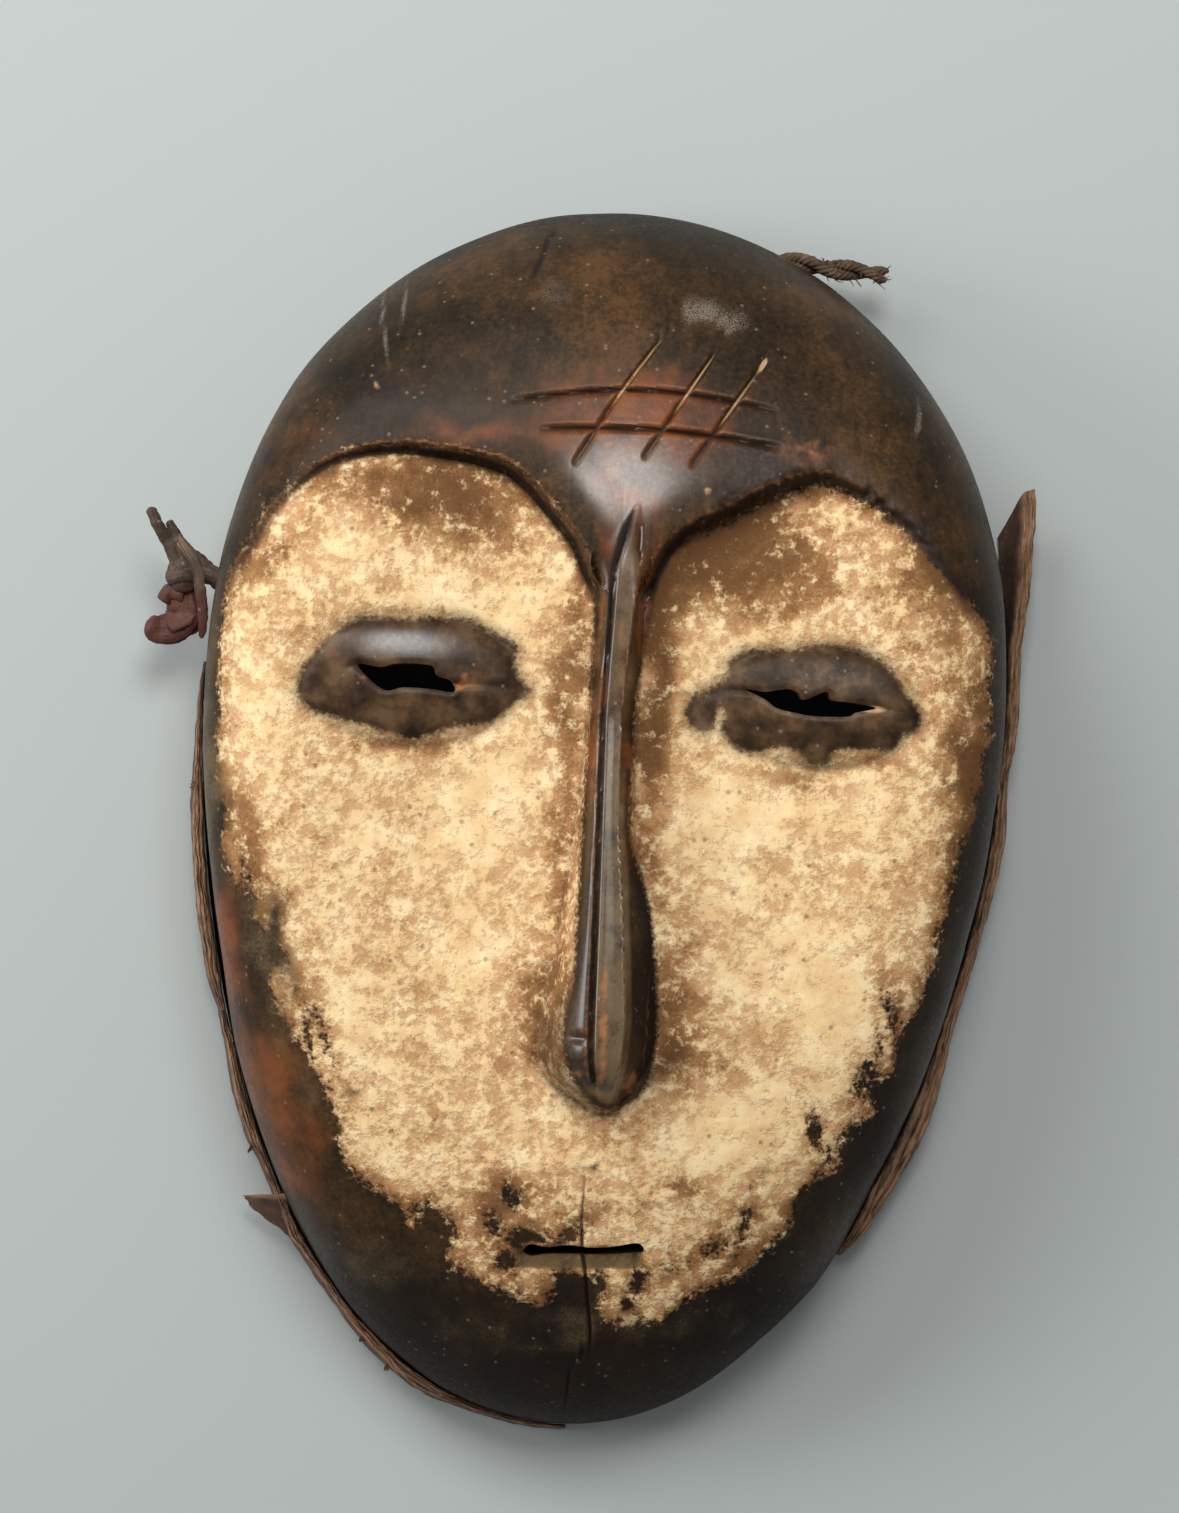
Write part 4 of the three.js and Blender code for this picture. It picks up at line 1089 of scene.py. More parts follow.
eye_gap, nose_gap = dark_reaches(points)
brow = brow_reach(x, y)
_, cut_deep, slanting_deep = cut_form(x, y)
_, strip_left, strip_right = nose_form(x, y)
on_strip = ease(x, strip_left + 0.2, strip_left + 0.9) * ease(strip_right - x, -0.2, 0.5)
on_strip *= ease(y, -58, -50) * (1 - ease(y, 52, 60)) * (nose_gap > 0)
on_strip *= 1.0 + 0.9 * ripple(points, 5, 3, seed=27)
# A darker line along the groove left of the nose's strip, near its root
beside_strip = bell(x, strip_left - 0.4, 1.0) * ease(y, 24, 36) * (1 - ease(y, 58, 63))
right_facet = ease(x, strip_right + 0.6, strip_right + 2) * ease(10 - y, 0, 12)
below = under_mouth(x, y)
bevel = ease(x, -12, -9) * (1 - ease(x, 13, 15)) * ease(below, -0.8, 0.2)
bevel *= (1 - ease(below + 0.6 * fine_blur, 2.6, 3.9)) * (1 + 0.6 * fine_blur)
scratch = np.zeros(x.shape)
for line in SCRATCHES:
    gap, along = from_line(x, y, smooth_line(line))
    scratch = np.maximum(scratch, bell(gap, 0, 0.45) * np.sin(np.pi * np.clip(along, 0.08, 0.92)))
spots = blotches(x + 0.7 * fine_blur, y - 0.7 * fine_blur, DARK_SPOTS)
grime_and_shade = np.maximum(1.1 * crack_form(x, y), cut_deep**1.5 - 0.9 * slanting_deep) + spots
# Painted shade just below the brow line, under the brow's lip
grime_and_shade += 0.8 * bell(brow, 1.4, 1.1) * ease(y, 40, 50) * ease(z, 20, 30)
# The painted shadow round the nose tip darkens the clay there
tip_shadow_gap = inside_of(x, y, smooth_line(NOSE_TIP_SHADOW, closed=True, steps=3)) + 1.2 * fine_blur
grime_and_shade += 0.5 * ease(tip_shadow_gap, -1.2, 3.2) * (nose_gap < 0.3) + 1.0 * beside_strip + 0.35 * bevel
faint_low = (0.25 + 0.75 * ease(z, 16, 32)) * (1 + 0.5 * ripple(points, (9, 9, 5), 3, seed=28))
# Painted shade low on the walls, more of it on the right
painted_low_shade = (0.15 + 0.4 * ease(x, -70, -30)) * ease(32 - z, 0, 16)
print(f"{(grime_and_shade > 0.5).mean():.1%} of the mask's vertices are darkened")

# %% Store the attributes of the mask
worn, hollowed = bends(mesh)
remembered = {
    "worn": worn,
    "hollowed": hollowed,
    "clay": clay_reach(points),
    "eye": eye_gap,
    "nose": nose_gap,
    "tone": blurred(LIGHT_CLAY) - blurred(BROWN_AND_SHADED_CLAY),
    "grime_and_shade": np.clip(grime_and_shade, 0, 1.5),
    "red": blurred(RED_WOOD) * faint_low,
    "dust_and_sheen": blurred(GREY_DUST_AND_SHEEN) + 0.9 * scratch,
    "chip": blotches(x, y, LIGHT_CHIPS) + 0.95 * slanting_deep**2,
    "olive": blurred(OLIVE) * faint_low + 2.2 * bevel + 1.3 * on_strip,
    "tan": blotches(x + 0.4 * fine_blur, y + 2 * fine_blur, TAN_WEAR),
    "dark": blurred(DARK_AND_SHADED_WOOD) + painted_low_shade,
    "polish": blotches(x, y, POLISH) + ease(nose_gap, 0, 1.5) * (1 - right_facet),
}
for name, values in remembered.items():
    store(mesh, name, values)
print(f"{len(remembered)} attributes stored on {len(points)} vertices")


# %% [markdown]
# ## The hide strips
# What is left of a band of dried hide stands round the wall: stiff, split into layers, and
# ragged at its upper edge. Each strip is a block cut into a fine grid and moved to measured
# places along the wall. Two grooves in its top are the splits between the layers.

# %% Blocks and leaves of hide
# Attribute that marks the strips' top edge for a painted light
LIT_TOP_EDGE = "lit_top_edge"


def noise_line(share, length, size, seed):
    """Smooth noise along a strip, about -1 to 1."""
    points = np.column_stack([share * length / size, np.full(len(share), seed * 3.7), share * 0])
    return np.array([noise.fractal(p, 1.0, 2.0, 4) for p in points])


def hide_block(bm, place, length, cuts, seed):
    """Adds a block of hide to a bmesh: a cube cut into grids, and moved to the places that
    place gives for shares along, up and across."""
    block = bmesh.new()
    bmesh.ops.create_cube(block, size=1)
    for axis, number in enumerate(cuts):
        edges = [edge for edge in block.edges
                 if abs(edge.verts[0].co[axis] - edge.verts[1].co[axis]) > 1e-6]
        bmesh.ops.subdivide_edges(block, edges=edges, cuts=number - 1, use_grid_fill=True)
    share, up, across = np.array([vert.co for vert in block.verts]).T + 0.5
    places = np.column_stack(place(share, up, across))
    crumple = ripple(places, (3, 3, 3), 3, seed=seed + 31) * 0.2
    fine = ripple(np.column_stack([share * length / 5, 3 * up, 3 * across]), 0.7, 3, seed=seed + 41)
    outward = places[:, :2] - np.array([0, RIM_MIDDLE_Y])
    outward /= np.linalg.norm(outward, axis=1)[:, None]
    places[:, :2] += outward * (crumple + 0.1 * fine)[:, None]
    places[:, 2] += 0.15 * fine * ease(up, 0.7, 1)
    fibre = np.column_stack([share * length, 3 * up, 3 * across + 5 * seed])
    place_verts(block, places, fibre)
    # The top of the block is marked for a painted light on its upper edge
    edge = block.verts.layers.float.new(LIT_TOP_EDGE)
    for vert, height in zip(block.verts, ease(up, 0.86, 0.97)):
        vert[edge] = height
    add_to(bm, block)


# %% Strips along the wall
HIDE_GAP = 0.45
STRIPS = {
    # direction in degrees, inner and outer distance from the wall at the top, height
    "hide_strip_right": [
        (-43.5, 1.2, 2.2, 5), (-42, 1.0, 3.2, 9), (-39.6, 0.6, 4.1, 12), (-36, 0.4, 4.4, 12.5),
        (-33, 0.5, 5.1, 12.7), (-29.5, 0.8, 5.6, 12.7), (-27, 0.9, 5.7, 12.6), (-24.5, 0.8, 5.1, 12.6),
        (-22, 0.7, 4.4, 12.6),
        (-19.7, 0.7, 3.6, 12.5), (-17.5, 0.6, 3.0, 12.5), (-15, 0.5, 2.8, 12.5), (-9.3, 0.5, 2.9, 12.6),
        (-5.2, 0.6, 3.2, 12.6), (-1.2, 0.6, 3.5, 12.6), (0.4, 0.7, 3.6, 12.6), (2.7, 0.4, 2.8, 12.6),
        (6.6, 0.3, 2.3, 12.6), (10.6, 0.6, 3.3, 12.6), (14.6, 1.1, 3.8, 12.7), (18.6, 1.5, 4.2, 12.8),
        (22.5, 3.4, 6.3, 12.9), (26.4, 5.4, 8.4, 13), (28.4, 6.5, 9.8, 13.1), (30.3, 7.7, 11.1, 13.2),
        (33.4, 9.4, 12.3, 13.2)],
    "hide_strip_left": [
        (167, 0.1, 0.7, 8), (170, 0.1, 1.1, 11), (177.4, -0.2, 1.6, 11.6), (180.5, -0.2, 2.2, 11.8),
        (183.5, 0, 2.5, 11.8), (188, 0, 2.7, 11.6), (192.4, 0, 3.0, 11.4), (196.1, 0.1, 2.8, 11),
        (198, 0.1, 2.2, 10.4), (200.28, 0.1, 1.5, 9)],
    "hide_strip_chin": [
        (200.33, 0.1, 1.5, 8.8), (203.5, 0, 1.5, 9), (206.7, 0, 2.1, 9.4), (211, 0, 2.7, 9.4),
        (213.5, 0, 2.5, 9.2), (216, 0, 1.4, 8.8), (219, 0, 1.3, 8.6), (222, 0, 1.9, 8.8), (225, 0, 2.0, 9),
        (228.5, -0.2, 1.4, 9), (232.5, -0.4, 1.0, 9), (235.2, -0.4, 1.1, 9), (237.3, -0.2, 1.5, 9.2),
        (241.4, -0.2, 2.0, 9.2), (244, -0.2, 2.2, 9.2), (246.4, 0, 2.9, 9.4), (248.8, 0, 2.9, 9.4),
        (252, 0, 2.2, 9.2), (256, 0, 1.4, 8.8), (260, 0, 1.1, 8.4), (265, 0, 0.9, 8), (271, 0, 0.7, 5)],
}
STRIP_LOW = 1.4
LEAST_GAP = 0.15
TIP_SLANT = 3.6
SPLIT_DEPTH = 0.55
MM_A_DEGREE = 1.5


def add_strip(bm, stations, tall_tip):
    """Adds a strip that follows its stations along the wall. A tall tip slants back
    towards its foot, as at the upper end of the right strip."""
    degrees_at, inner_at, outer_at, top_at = np.array(stations, dtype=float).T
    start, end = degrees_at[0], degrees_at[-1]
    length = abs(end - start) * MM_A_DEGREE
    seed = int(abs(start))

    def place(share, up, across):
        degrees = start + (end - start) * share
        inner_top = np.interp(degrees, degrees_at, inner_at)
        width = np.interp(degrees, degrees_at, outer_at) - inner_top
        top = np.interp(degrees, degrees_at, top_at)
        line = share + 0.002 * across * length
        top = top + 0.5 * noise_line(line, length, 6, seed + 2) + 0.4 * noise_line(
            line + 0.4 * across, length, 1.4, seed + 3)
        split = 0.36 + 0.1 * noise_line(share, length, 9, seed + 6)
        second = 0.72 + 0.08 * noise_line(share, length, 7, seed + 7)
        cut = bell(across, split, 0.07) + 0.8 * bell(across, second, 0.06)
        top = top - SPLIT_DEPTH * cut * ease(up, 0.7, 1) - 0.5 * (2 * across - 1) ** 2
        z = STRIP_LOW + 0.3 * noise_line(share, length, 4, seed + 5) + (top - STRIP_LOW) * up
        foot = HIDE_GAP + 0.3 * np.maximum(inner_top - HIDE_GAP, 0)
        foot_width = np.minimum(width, 2.4)
        wobble = 0.2 * noise_line(share, length, 7, seed + 1)
        inner = foot + (inner_top + wobble - foot) * up
        px, py = wall_point(np.radians(degrees), np.maximum(z, 0.5), 0.0)
        least = wall_shift(px, py) * wall_share(z) + LEAST_GAP
        squeeze = 1 - 0.25 * ease(up, 0.88, 1)
        middle = 0.5 + (across - 0.5) * squeeze
        off = np.maximum(inner, least) + (foot_width + (width - foot_width) * up) * middle
        if tall_tip:
            degrees = degrees - TIP_SLANT * (1 - up) * ease(share, 0.9, 1)
        px, py = wall_point(np.radians(degrees), np.maximum(z, 0.5), off)
        return px, py, z
    hide_block(bm, place, length, (int(length * 1.7), 9, 16), seed)


strip_pieces = {}
for name, stations in STRIPS.items():
    strip_bm = bmesh.new()
    add_strip(strip_bm, stations, tall_tip=name == "hide_strip_right")
    strip_pieces[name] = strip_bm

# %% Torn scraps that hang on the strips
SCRAPS = [
    # strip, its two corners at the strip and the two at its end (x, y, z), thickness
    ("hide_strip_chin", (-60.2, -83.2, 8.2), (-57.2, -93.2, 5.4), (-68.8, -84.2, 7.6),
     (-67.4, -86.6, 6.2), 1.2),
    ("hide_strip_chin", (-62.4, -86.0, 5.8), (-58.8, -92.0, 4.2), (-66.2, -87.0, 5.6),
     (-64.6, -88.6, 4.6), 1.0),
    ("hide_strip_chin", (-66.9, -70.6, 7.6), (-66.2, -73.2, 6.8), (-68.6, -75.0, 7.0),
     (-68.5, -75.3, 6.8), 0.6),
    ("hide_strip_chin", (-42.6, -110.8, 7.6), (-40.6, -112.6, 6.8), (-43.2, -113.2, 7.0),
     (-42.8, -113.5, 6.8), 0.7),
    ("hide_strip_chin", (-37.0, -115.6, 7.6), (-34.6, -117.4, 6.8), (-37.6, -119.2, 7.0),
     (-37.2, -119.4, 6.8), 0.7),
    ("hide_strip_left", (-81.9, 2.0, 10.6), (-82.0, -0.4, 9.6), (-84.6, 1.9, 10.6),
     (-84.8, 0.2, 10), 0.9),
    ("hide_strip_right", (68.6, 66.9, 13.6), (71.4, 60.4, 12.4), (71.6, 67.5, 13.4),
     (73.2, 61.6, 12.4), 1.0),
    ("hide_strip_right", (76.0, 45.6, 13.2), (76.6, 42.6, 12.6), (79.6, 46.4, 13.2),
     (80.4, 42.8, 12.6), 1.0),
]
SCRAP_LENGTH = 9


def add_scrap(bm, corners, thickness, seed):
    """Adds a torn scrap between its corners, ragged at its end and curled a little."""
    upper, lower, upper_end, lower_end = (np.array(corner)[:, None] for corner in corners)

    def place(share, up, across):
        root = lower + (upper - lower) * up
        end = lower_end + (upper_end - lower_end) * up
        torn = 1 + 0.12 * noise_line(up, SCRAP_LENGTH, 2, seed + 70) * share
        here = root + (end - root) * share**0.85 * torn
        here[2] += thickness * (across - 0.5) + 0.5 * np.sin(3 * share)
        here[1] += 0.5 * noise_line(share, SCRAP_LENGTH, 1.6, seed + 75) * (1 - up)
        return here[0], here[1], here[2]
    hide_block(bm, place, SCRAP_LENGTH, (22, 14, 3), 60 + seed)


for seed, (name, *corners, thickness) in enumerate(SCRAPS):
    add_scrap(strip_pieces[name], corners, thickness, seed)
hide_pieces = [finish_piece(name, bm) for name, bm in strip_pieces.items()]
for piece in hide_pieces:
    low_corner = read_places(piece.data).min(0) / MM
    print(piece.name, "lowest point", round(float(low_corner[2]), 2), "mm")


# %% [markdown]
# ## The ties
# At the left a dried thong comes out of its hole, is knotted, and ends in two stiff
# fingers and a curled ribbon. At the top a worn cord of two twisted strands sticks out and
# is frayed. Both are bars bent along the places where the photograph shows them.

# %% The thong at the left
THONG = [
    {"way": [(-72, 41.9, 0), (-79, 43.5, 0), (-86, 45.8, 0), (-89, 46.5, 0)],
     "radii": [1.9, 2.1, 2.2], "flatness": 0.9, "turns": 0.1},
    {"way": [(-87.5, 44, 1), (-89.4, 47.5, 1.5), (-91.4, 51, 2), (-93.4, 54, 3), (-95.4, 57.6, 3.5)],
     "radii": [2.3, 1.7, 1.35, 1.25, 1.1], "flatness": 0.8, "turns": 0.1},
    {"way": [(-86, 44.5, 1), (-87.6, 48, 1.5), (-89.4, 51.5, 2), (-91.4, 55.2, 2.4)],
     "radii": [1.9, 1.4, 1.2, 0.9], "flatness": 0.7, "turns": 0.1},
    {"way": [(-88.4, 44, -1), (-87.8, 39.6, -1.5), (-87.6, 36.2, -2.2), (-89.6, 33.4, -2.4),
             (-92.8, 32.8, -1.5), (-95, 33.8, 0)],
     "radii": [2.4, 3.6, 4.0, 3.7, 3.2, 2.2], "flatness": 0.5, "turns": 0.05},
    {"way": [(-88, 38.6, -2.6), (-86.6, 34.6, -3.2), (-85.4, 32.2, -3.4)],
     "radii": [1.6, 2.0, 1.2], "flatness": 0.5, "turns": 0.1},
    {"way": [(-90, 53, 2.2), (-87.6, 49.6, 2.8), (-85.2, 46, 3), (-84, 41, 2.4), (-83.4, 35.5, 0.6),
             (-83.6, 31.4, -1)],
     "radii": [0.9, 1.2, 1.3, 1.25, 1.2, 0.8], "flatness": 0.42, "turns": 0.08},
    {"way": [(-80, 42.6, -0.5), (-84, 46.4, 0), (-88.8, 51, 0.8)],
     "radii": [1.9, 1.7, 0.9], "flatness": 0.7, "turns": 0.1},
    {"way": [(-87.4, 40.4, -0.6), (-90.6, 40.4, -0.8), (-91.9, 38.4, -1.2)],
     "radii": [2.2, 2.0, 1.6], "flatness": 0.7, "turns": 0},
    {"way": [(-87.6, 50, 0), (-88, 45, 0.4), (-87.6, 40.6, 0)],
     "radii": [1.6, 3.5, 2.2], "flatness": 0.85, "turns": 0.1},
    {"way": [(-86, 38.4, -1.4), (-87.6, 35.4, -0.6), (-90.6, 33.4, 0)],
     "radii": [1.8, 2.4, 1.6], "flatness": 0.35, "turns": 0.1},
]
KNOT_WRAPS = [
    {"tilt": 0.2, "size": (2.4, 3.2, 2.9), "thick": 1.9},
    {"tilt": 1.2, "size": (2.2, 3.2, 2.8), "thick": 1.7},
    {"tilt": 2.2, "size": (2.0, 3.0, 2.9), "thick": 1.8},
]
KNOT_MIDDLE = (-88, 45, 17)
KNOT_PRESSED = 0.75
RING_STEPS = 10


def knot_ring(tilt, size, shift):
    """Places of one wrap round the knot."""
    ring = []
    for step in range(RING_STEPS + 1):
        angle = 2 * math.pi * step / RING_STEPS
        rx, ry, rz = size
        flat = (rx * math.cos(angle), rz * math.sin(angle))
        ring.append((
            KNOT_MIDDLE[0] + flat[0] * math.cos(tilt),
            KNOT_MIDDLE[1] + ry * KNOT_PRESSED * math.cos(angle) * math.sin(tilt) + shift,
            KNOT_MIDDLE[2] + flat[1] * KNOT_PRESSED))
    return ring


thong_bm = bmesh.new()
for seed, bar in enumerate(THONG):
    bent_bar(
        thong_bm, at_height(bar["way"], TIE_LEFT_HEIGHT), bar["radii"], bar["flatness"],
        bar["turns"], sides=18, rings=48, rough=0.3, seed=seed)
for seed, wrap in enumerate(KNOT_WRAPS):
    ring = knot_ring(wrap["tilt"], wrap["size"], 0.8 * (seed - 1))
    bent_bar(
        thong_bm, ring, [wrap["thick"]] * 2, 0.7, 0, sides=14, rings=50, rough=0.25,
        seed=20 + seed)
thong = finish_piece("thong_left", thong_bm)
print("thong:", len(thong.data.polygons), "faces")

# %% The cord at the top
CORD = [(20, 108.4, 0), (27.3, 113.8, 0), (32, 116.4, 0), (37, 116.3, 0), (42, 115.6, 0),
        (48, 115.6, 0), (54, 114.8, 1)]
CORD_TURNS = 1.9
STRAND_RADIUS = 1.25
STRAND_SPREAD = 1.05
FRAY_SPREAD = 1.8
FRAY_PLACES = 101
FRAYS = 34


def wound(points, turns, spread, phase, steps=48):
    """A line that winds round another one."""
    length, on_way = measured(points)
    at = np.linspace(0, length, steps)
    middle = on_way(at)
    across = level_across(np.gradient(middle, axis=0))
    angle = phase + 2 * np.pi * turns * at / length
    sideways = across * (spread * np.cos(angle))[:, None]
    return middle + sideways + np.array([0, 0, 1]) * (spread * np.sin(angle))[:, None]


cord_bm = bmesh.new()
cord_way = at_height(CORD, TIE_TOP_HEIGHT)
for strand in range(2):
    phase = 0.5 + math.pi * strand
    way = wound(cord_way, CORD_TURNS, STRAND_SPREAD, phase)
    radii = [STRAND_RADIUS] * 3 + [STRAND_RADIUS * 0.85]
    bent_bar(
        cord_bm, way, radii, 1, -6, sides=20, rings=150, rough=0.12, ply=5, seed=40 + strand)
picks = np.random.default_rng(7)
for fray in range(FRAYS):
    share = picks.choice([picks.uniform(0.62, 0.86), picks.uniform(0.93, 1.0)])
    winding = wound(cord_way, CORD_TURNS, FRAY_SPREAD, picks.uniform(0, 6.28), FRAY_PLACES)
    spot = winding[int(share * (FRAY_PLACES - 1))]
    lean = np.array([picks.uniform(0.2, 1), picks.uniform(-1.1, 0.6), picks.uniform(-0.3, 0.8)])
    lean *= picks.uniform(0.8, 2.2)
    curl = picks.normal(0, 0.4, 3)
    bent_bar(
        cord_bm, [spot - 0.5 * lean, spot, spot + 0.5 * lean + curl, spot + lean],
        [0.14, 0.12, 0.05], 1, 0, sides=5, rings=8, seed=50 + fray)
cord = finish_piece("cord_top", cord_bm)
print("cord:", len(cord.data.polygons), "faces")


# %% [markdown]
# ## Shader helpers
# Every finish is a tree of nodes. A small class holds a tree, and each of its methods adds
# one node, sets its inputs and links what is given as a socket. So a finish reads like a
# list of steps: a sum, a product, a mixed colour.

# %% A tree of nodes
def paint(red, green, blue):
    """A colour given as it looks on a screen, from 0 to 255."""
    def linear(level):
        level = level / 255
        return level / 12.92 if level <= 0.04045 else ((level + 0.055) / 1.055) ** 2.4
    return (linear(red), linear(green), linear(blue), 1)


class Tree:
    """A shader tree in the making."""

    def __init__(self, nodes):
        self.nodes = nodes

    def give(self, goal, value):
        """Sets an input, or links it where the value is a socket."""
        if isinstance(value, bpy.types.NodeSocket):
            self.nodes.links.new(value, goal)
        else:
            goal.default_value = value

    def node(self, kind, values=None, **settings):
        """Adds a node with its settings and its inputs."""
        made = self.nodes.nodes.new(kind)
        for key, value in settings.items():
            setattr(made, key, value)
        for key, value in (values or {}).items():
            self.give(made.inputs[key], value)
        return made

    def math(self, operation, first, second, clamp=False):
        """A math node on two values."""
        values = {0: first, 1: second}
        return self.node("ShaderNodeMath", values, operation=operation, use_clamp=clamp).outputs[0]

    def plus(self, first, second, clamp=False):
        """A sum."""
        return self.math("ADD", first, second, clamp)

    def times(self, first, second, clamp=False):
        """A product."""
        return self.math("MULTIPLY", first, second, clamp)

    def total(self, first, *terms):
        """A value, and others added to it that are each times a weight."""
        for value, weight in terms:
            first = self.plus(first, self.times(value, weight))
        return first

    def span(self, value, low, high, out_low=0.0, out_high=1.0):
        """Maps a value from one range to another, smoothly and without going over."""
        values = {"Value": value, "From Min": low, "From Max": high, "To Min": out_low, "To Max": out_high}
        made = self.node("ShaderNodeMapRange", values, interpolation_type="SMOOTHSTEP")
        return made.outputs["Result"]

    def mix(self, share, first, second):
        """Mixes two colours."""
        return self.node("ShaderNodeMix", {0: share, 6: first, 7: second}, data_type="RGBA").outputs[2]

    def stain(self, colour, value, low, high, strength, shade):
        """A colour with a shade laid over it, more of it as a value goes from low to high."""
        return self.mix(self.span(value, low, high, 0.0, strength), colour, shade)

    def ramp(self, share, stops):
        """Colours at shares of a value."""
        made = self.node("ShaderNodeValToRGB", {0: share})
        for element, (at, colour) in zip(made.color_ramp.elements, (stops[0], stops[-1])):
            element.position = at
            element.color = colour
        for at, colour in stops[1:-1]:
            made.color_ramp.elements.new(at).color = colour
        return made.outputs[0]

    def cloud(self, vector, scale, detail, roughness, distortion=0.0):
        """Noise, from 0 to 1."""
        values = {"Vector": vector, "Scale": scale, "Detail": detail, "Roughness": roughness,
                  "Distortion": distortion}
        return self.node("ShaderNodeTexNoise", values).outputs["Fac"]

    def squeezed(self, vector, factors):
        """A vector with each axis times a factor."""
        made = self.node("ShaderNodeVectorMath", {0: vector, 1: factors}, operation="MULTIPLY")
        return made.outputs[0]


# %% [markdown]
# ## Shared effects
# Three effects come back in several finishes. Mottling is cloudy unevenness at two sizes.
# Grain is noise drawn out along one direction. Specks are the grains of dust and dirt that
# lie on everything old. Each is a node group, so that every finish uses the same one.

# %% Mottling, grain and specks
METRE_MM = 1000.0


def new_group(name, numbers, outputs):
    """A group that reads a vector and some numbers, with what comes in and what goes out."""
    group = bpy.data.node_groups.new(name, "ShaderNodeTree")
    group.interface.new_socket("Vector", in_out="INPUT", socket_type="NodeSocketVector")
    for socket, default in numbers.items():
        made = group.interface.new_socket(socket, in_out="INPUT", socket_type="NodeSocketFloat")
        made.default_value = default
    for socket in outputs:
        group.interface.new_socket(socket, in_out="OUTPUT", socket_type="NodeSocketFloat")
    given = group.nodes.new("NodeGroupInput").outputs
    return Tree(group), given, group.nodes.new("NodeGroupOutput").inputs


mottling, given, result = new_group("mottling", {"Size mm": 10.0}, ["Broad", "Fine"])
scale = mottling.math("DIVIDE", METRE_MM, given["Size mm"])
mottling.give(result["Broad"], mottling.cloud(given["Vector"], scale, 5.0, 0.6))
fine_scale = mottling.times(scale, 6.0)
mottling.give(result["Fine"], mottling.cloud(given["Vector"], fine_scale, 4.0, 0.65))

grain, given, result = new_group("grain", {"Width mm": 1.0, "Stretch": 8.0}, ["Value"])
scale = grain.math("DIVIDE", METRE_MM, given["Width mm"])
along = grain.math("DIVIDE", 1.0, given["Stretch"])
factors = grain.node("ShaderNodeCombineXYZ", {"X": 1.0, "Y": along, "Z": 1.0}).outputs[0]
drawn_out = grain.squeezed(given["Vector"], factors)
grain.give(result["Value"], grain.cloud(drawn_out, scale, 4.0, 0.6, 0.4))

specks, given, result = new_group("specks", {"Size mm": 1.2, "Share": 0.2}, ["Mask"])
scale = specks.math("DIVIDE", METRE_MM, given["Size mm"])
cells = specks.node("ShaderNodeTexVoronoi", {"Vector": given["Vector"], "Scale": scale})
dot = specks.span(cells.outputs["Distance"], 0.12, 0.34, 1.0, 0.0)
chance = specks.node("ShaderNodeSeparateColor", {0: cells.outputs["Color"]}).outputs[0]
kept = specks.math("LESS_THAN", chance, given["Share"])
specks.give(result["Mask"], specks.times(dot, kept))


# %% A finish that uses the groups
class Finish(Tree):
    """The tree of a material, with its shader, the object coordinates and the effects."""

    def __init__(self, material):
        material.use_nodes = True
        super().__init__(material.node_tree)
        self.nodes.nodes.clear()
        self.shader = self.node("ShaderNodeBsdfPrincipled")
        self.node("ShaderNodeOutputMaterial", {"Surface": self.shader.outputs[0]})
        self.place = self.node("ShaderNodeTexCoord").outputs["Object"]

    def use(self, effect, numbers):
        """What a shared effect puts out."""
        values = {"Vector": self.place, **numbers}
        return self.node("ShaderNodeGroup", values, node_tree=effect.nodes).outputs

    def mottled(self, size):
        """Mottling, Broad and Fine, with clouds of a size in millimetres."""
        return self.use(mottling, {"Size mm": size})

    def grained(self, width, stretch):
        """Grain with lines of a width in millimetres."""
        return self.use(grain, {"Width mm": width, "Stretch": stretch})[0]

    def specked(self, size, share):
        """Specks of a size in millimetres, in a share of the places where they could be."""
        return self.use(specks, {"Size mm": size, "Share": share})[0]

    def attribute(self, name):
        """The value of an attribute of the mesh."""
        return self.node("ShaderNodeAttribute", attribute_name=name).outputs["Fac"]

    def surface(self, values):
        """Sets or links inputs of the shader."""
        for key, value in values.items():
            self.give(self.shader.inputs[key], value)

    def bump(self, height, strength, distance):
        """Lets a height tilt the surface's light."""
        values = {"Height": height, "Strength": strength, "Distance": distance}
        self.surface({"Normal": self.node("ShaderNodeBump", values).outputs[0]})


# %% [markdown]
# ## The painted wood
# One material covers the whole outside, because clay, wood, eyes and nose run into each
# other there. It builds the dark wood first, with painted shade in it, then lays the clay over
# it where the clay attribute says so, then the darker eyes and nose, and last the grime and
# painted shade, chips, and dust with a painted sheen.

# %% The wood under the clay
skin = Finish(painted_wood)
wide = skin.mottled(30.0)
small = skin.mottled(6.0)
patches = skin.mottled(3.4)
tiny = skin.mottled(1.6)
streaks = skin.grained(1.6, 9.0)

wood_tone = skin.total(wide["Broad"], (streaks, 0.28), (wide["Fine"], 0.3), (small["Fine"], 0.36))
wood_colour = skin.ramp(skin.span(wood_tone, 0.7, 1.22), [
    (0.0, paint(25, 18, 10)), (0.4, paint(43, 31, 17)), (0.75, paint(61, 43, 24)),
    (1.0, paint(84, 58, 32))])
# Dark wood, and painted shade on the nose's right facet, the chin and low on the walls
dark = skin.attribute("dark")
wood_colour = skin.stain(wood_colour, dark, 0.0, 1.0, 0.85, paint(20, 13, 9))
red = skin.times(skin.attribute("red"), skin.times(small["Broad"], 2.0))
wood_colour = skin.stain(wood_colour, red, 0.15, 1.2, 0.85, paint(126, 70, 36))
worn = skin.times(skin.attribute("worn"), skin.times(small["Fine"], 1.6))
wood_colour = skin.stain(wood_colour, worn, 0.1, 0.7, 0.75, paint(146, 98, 66))

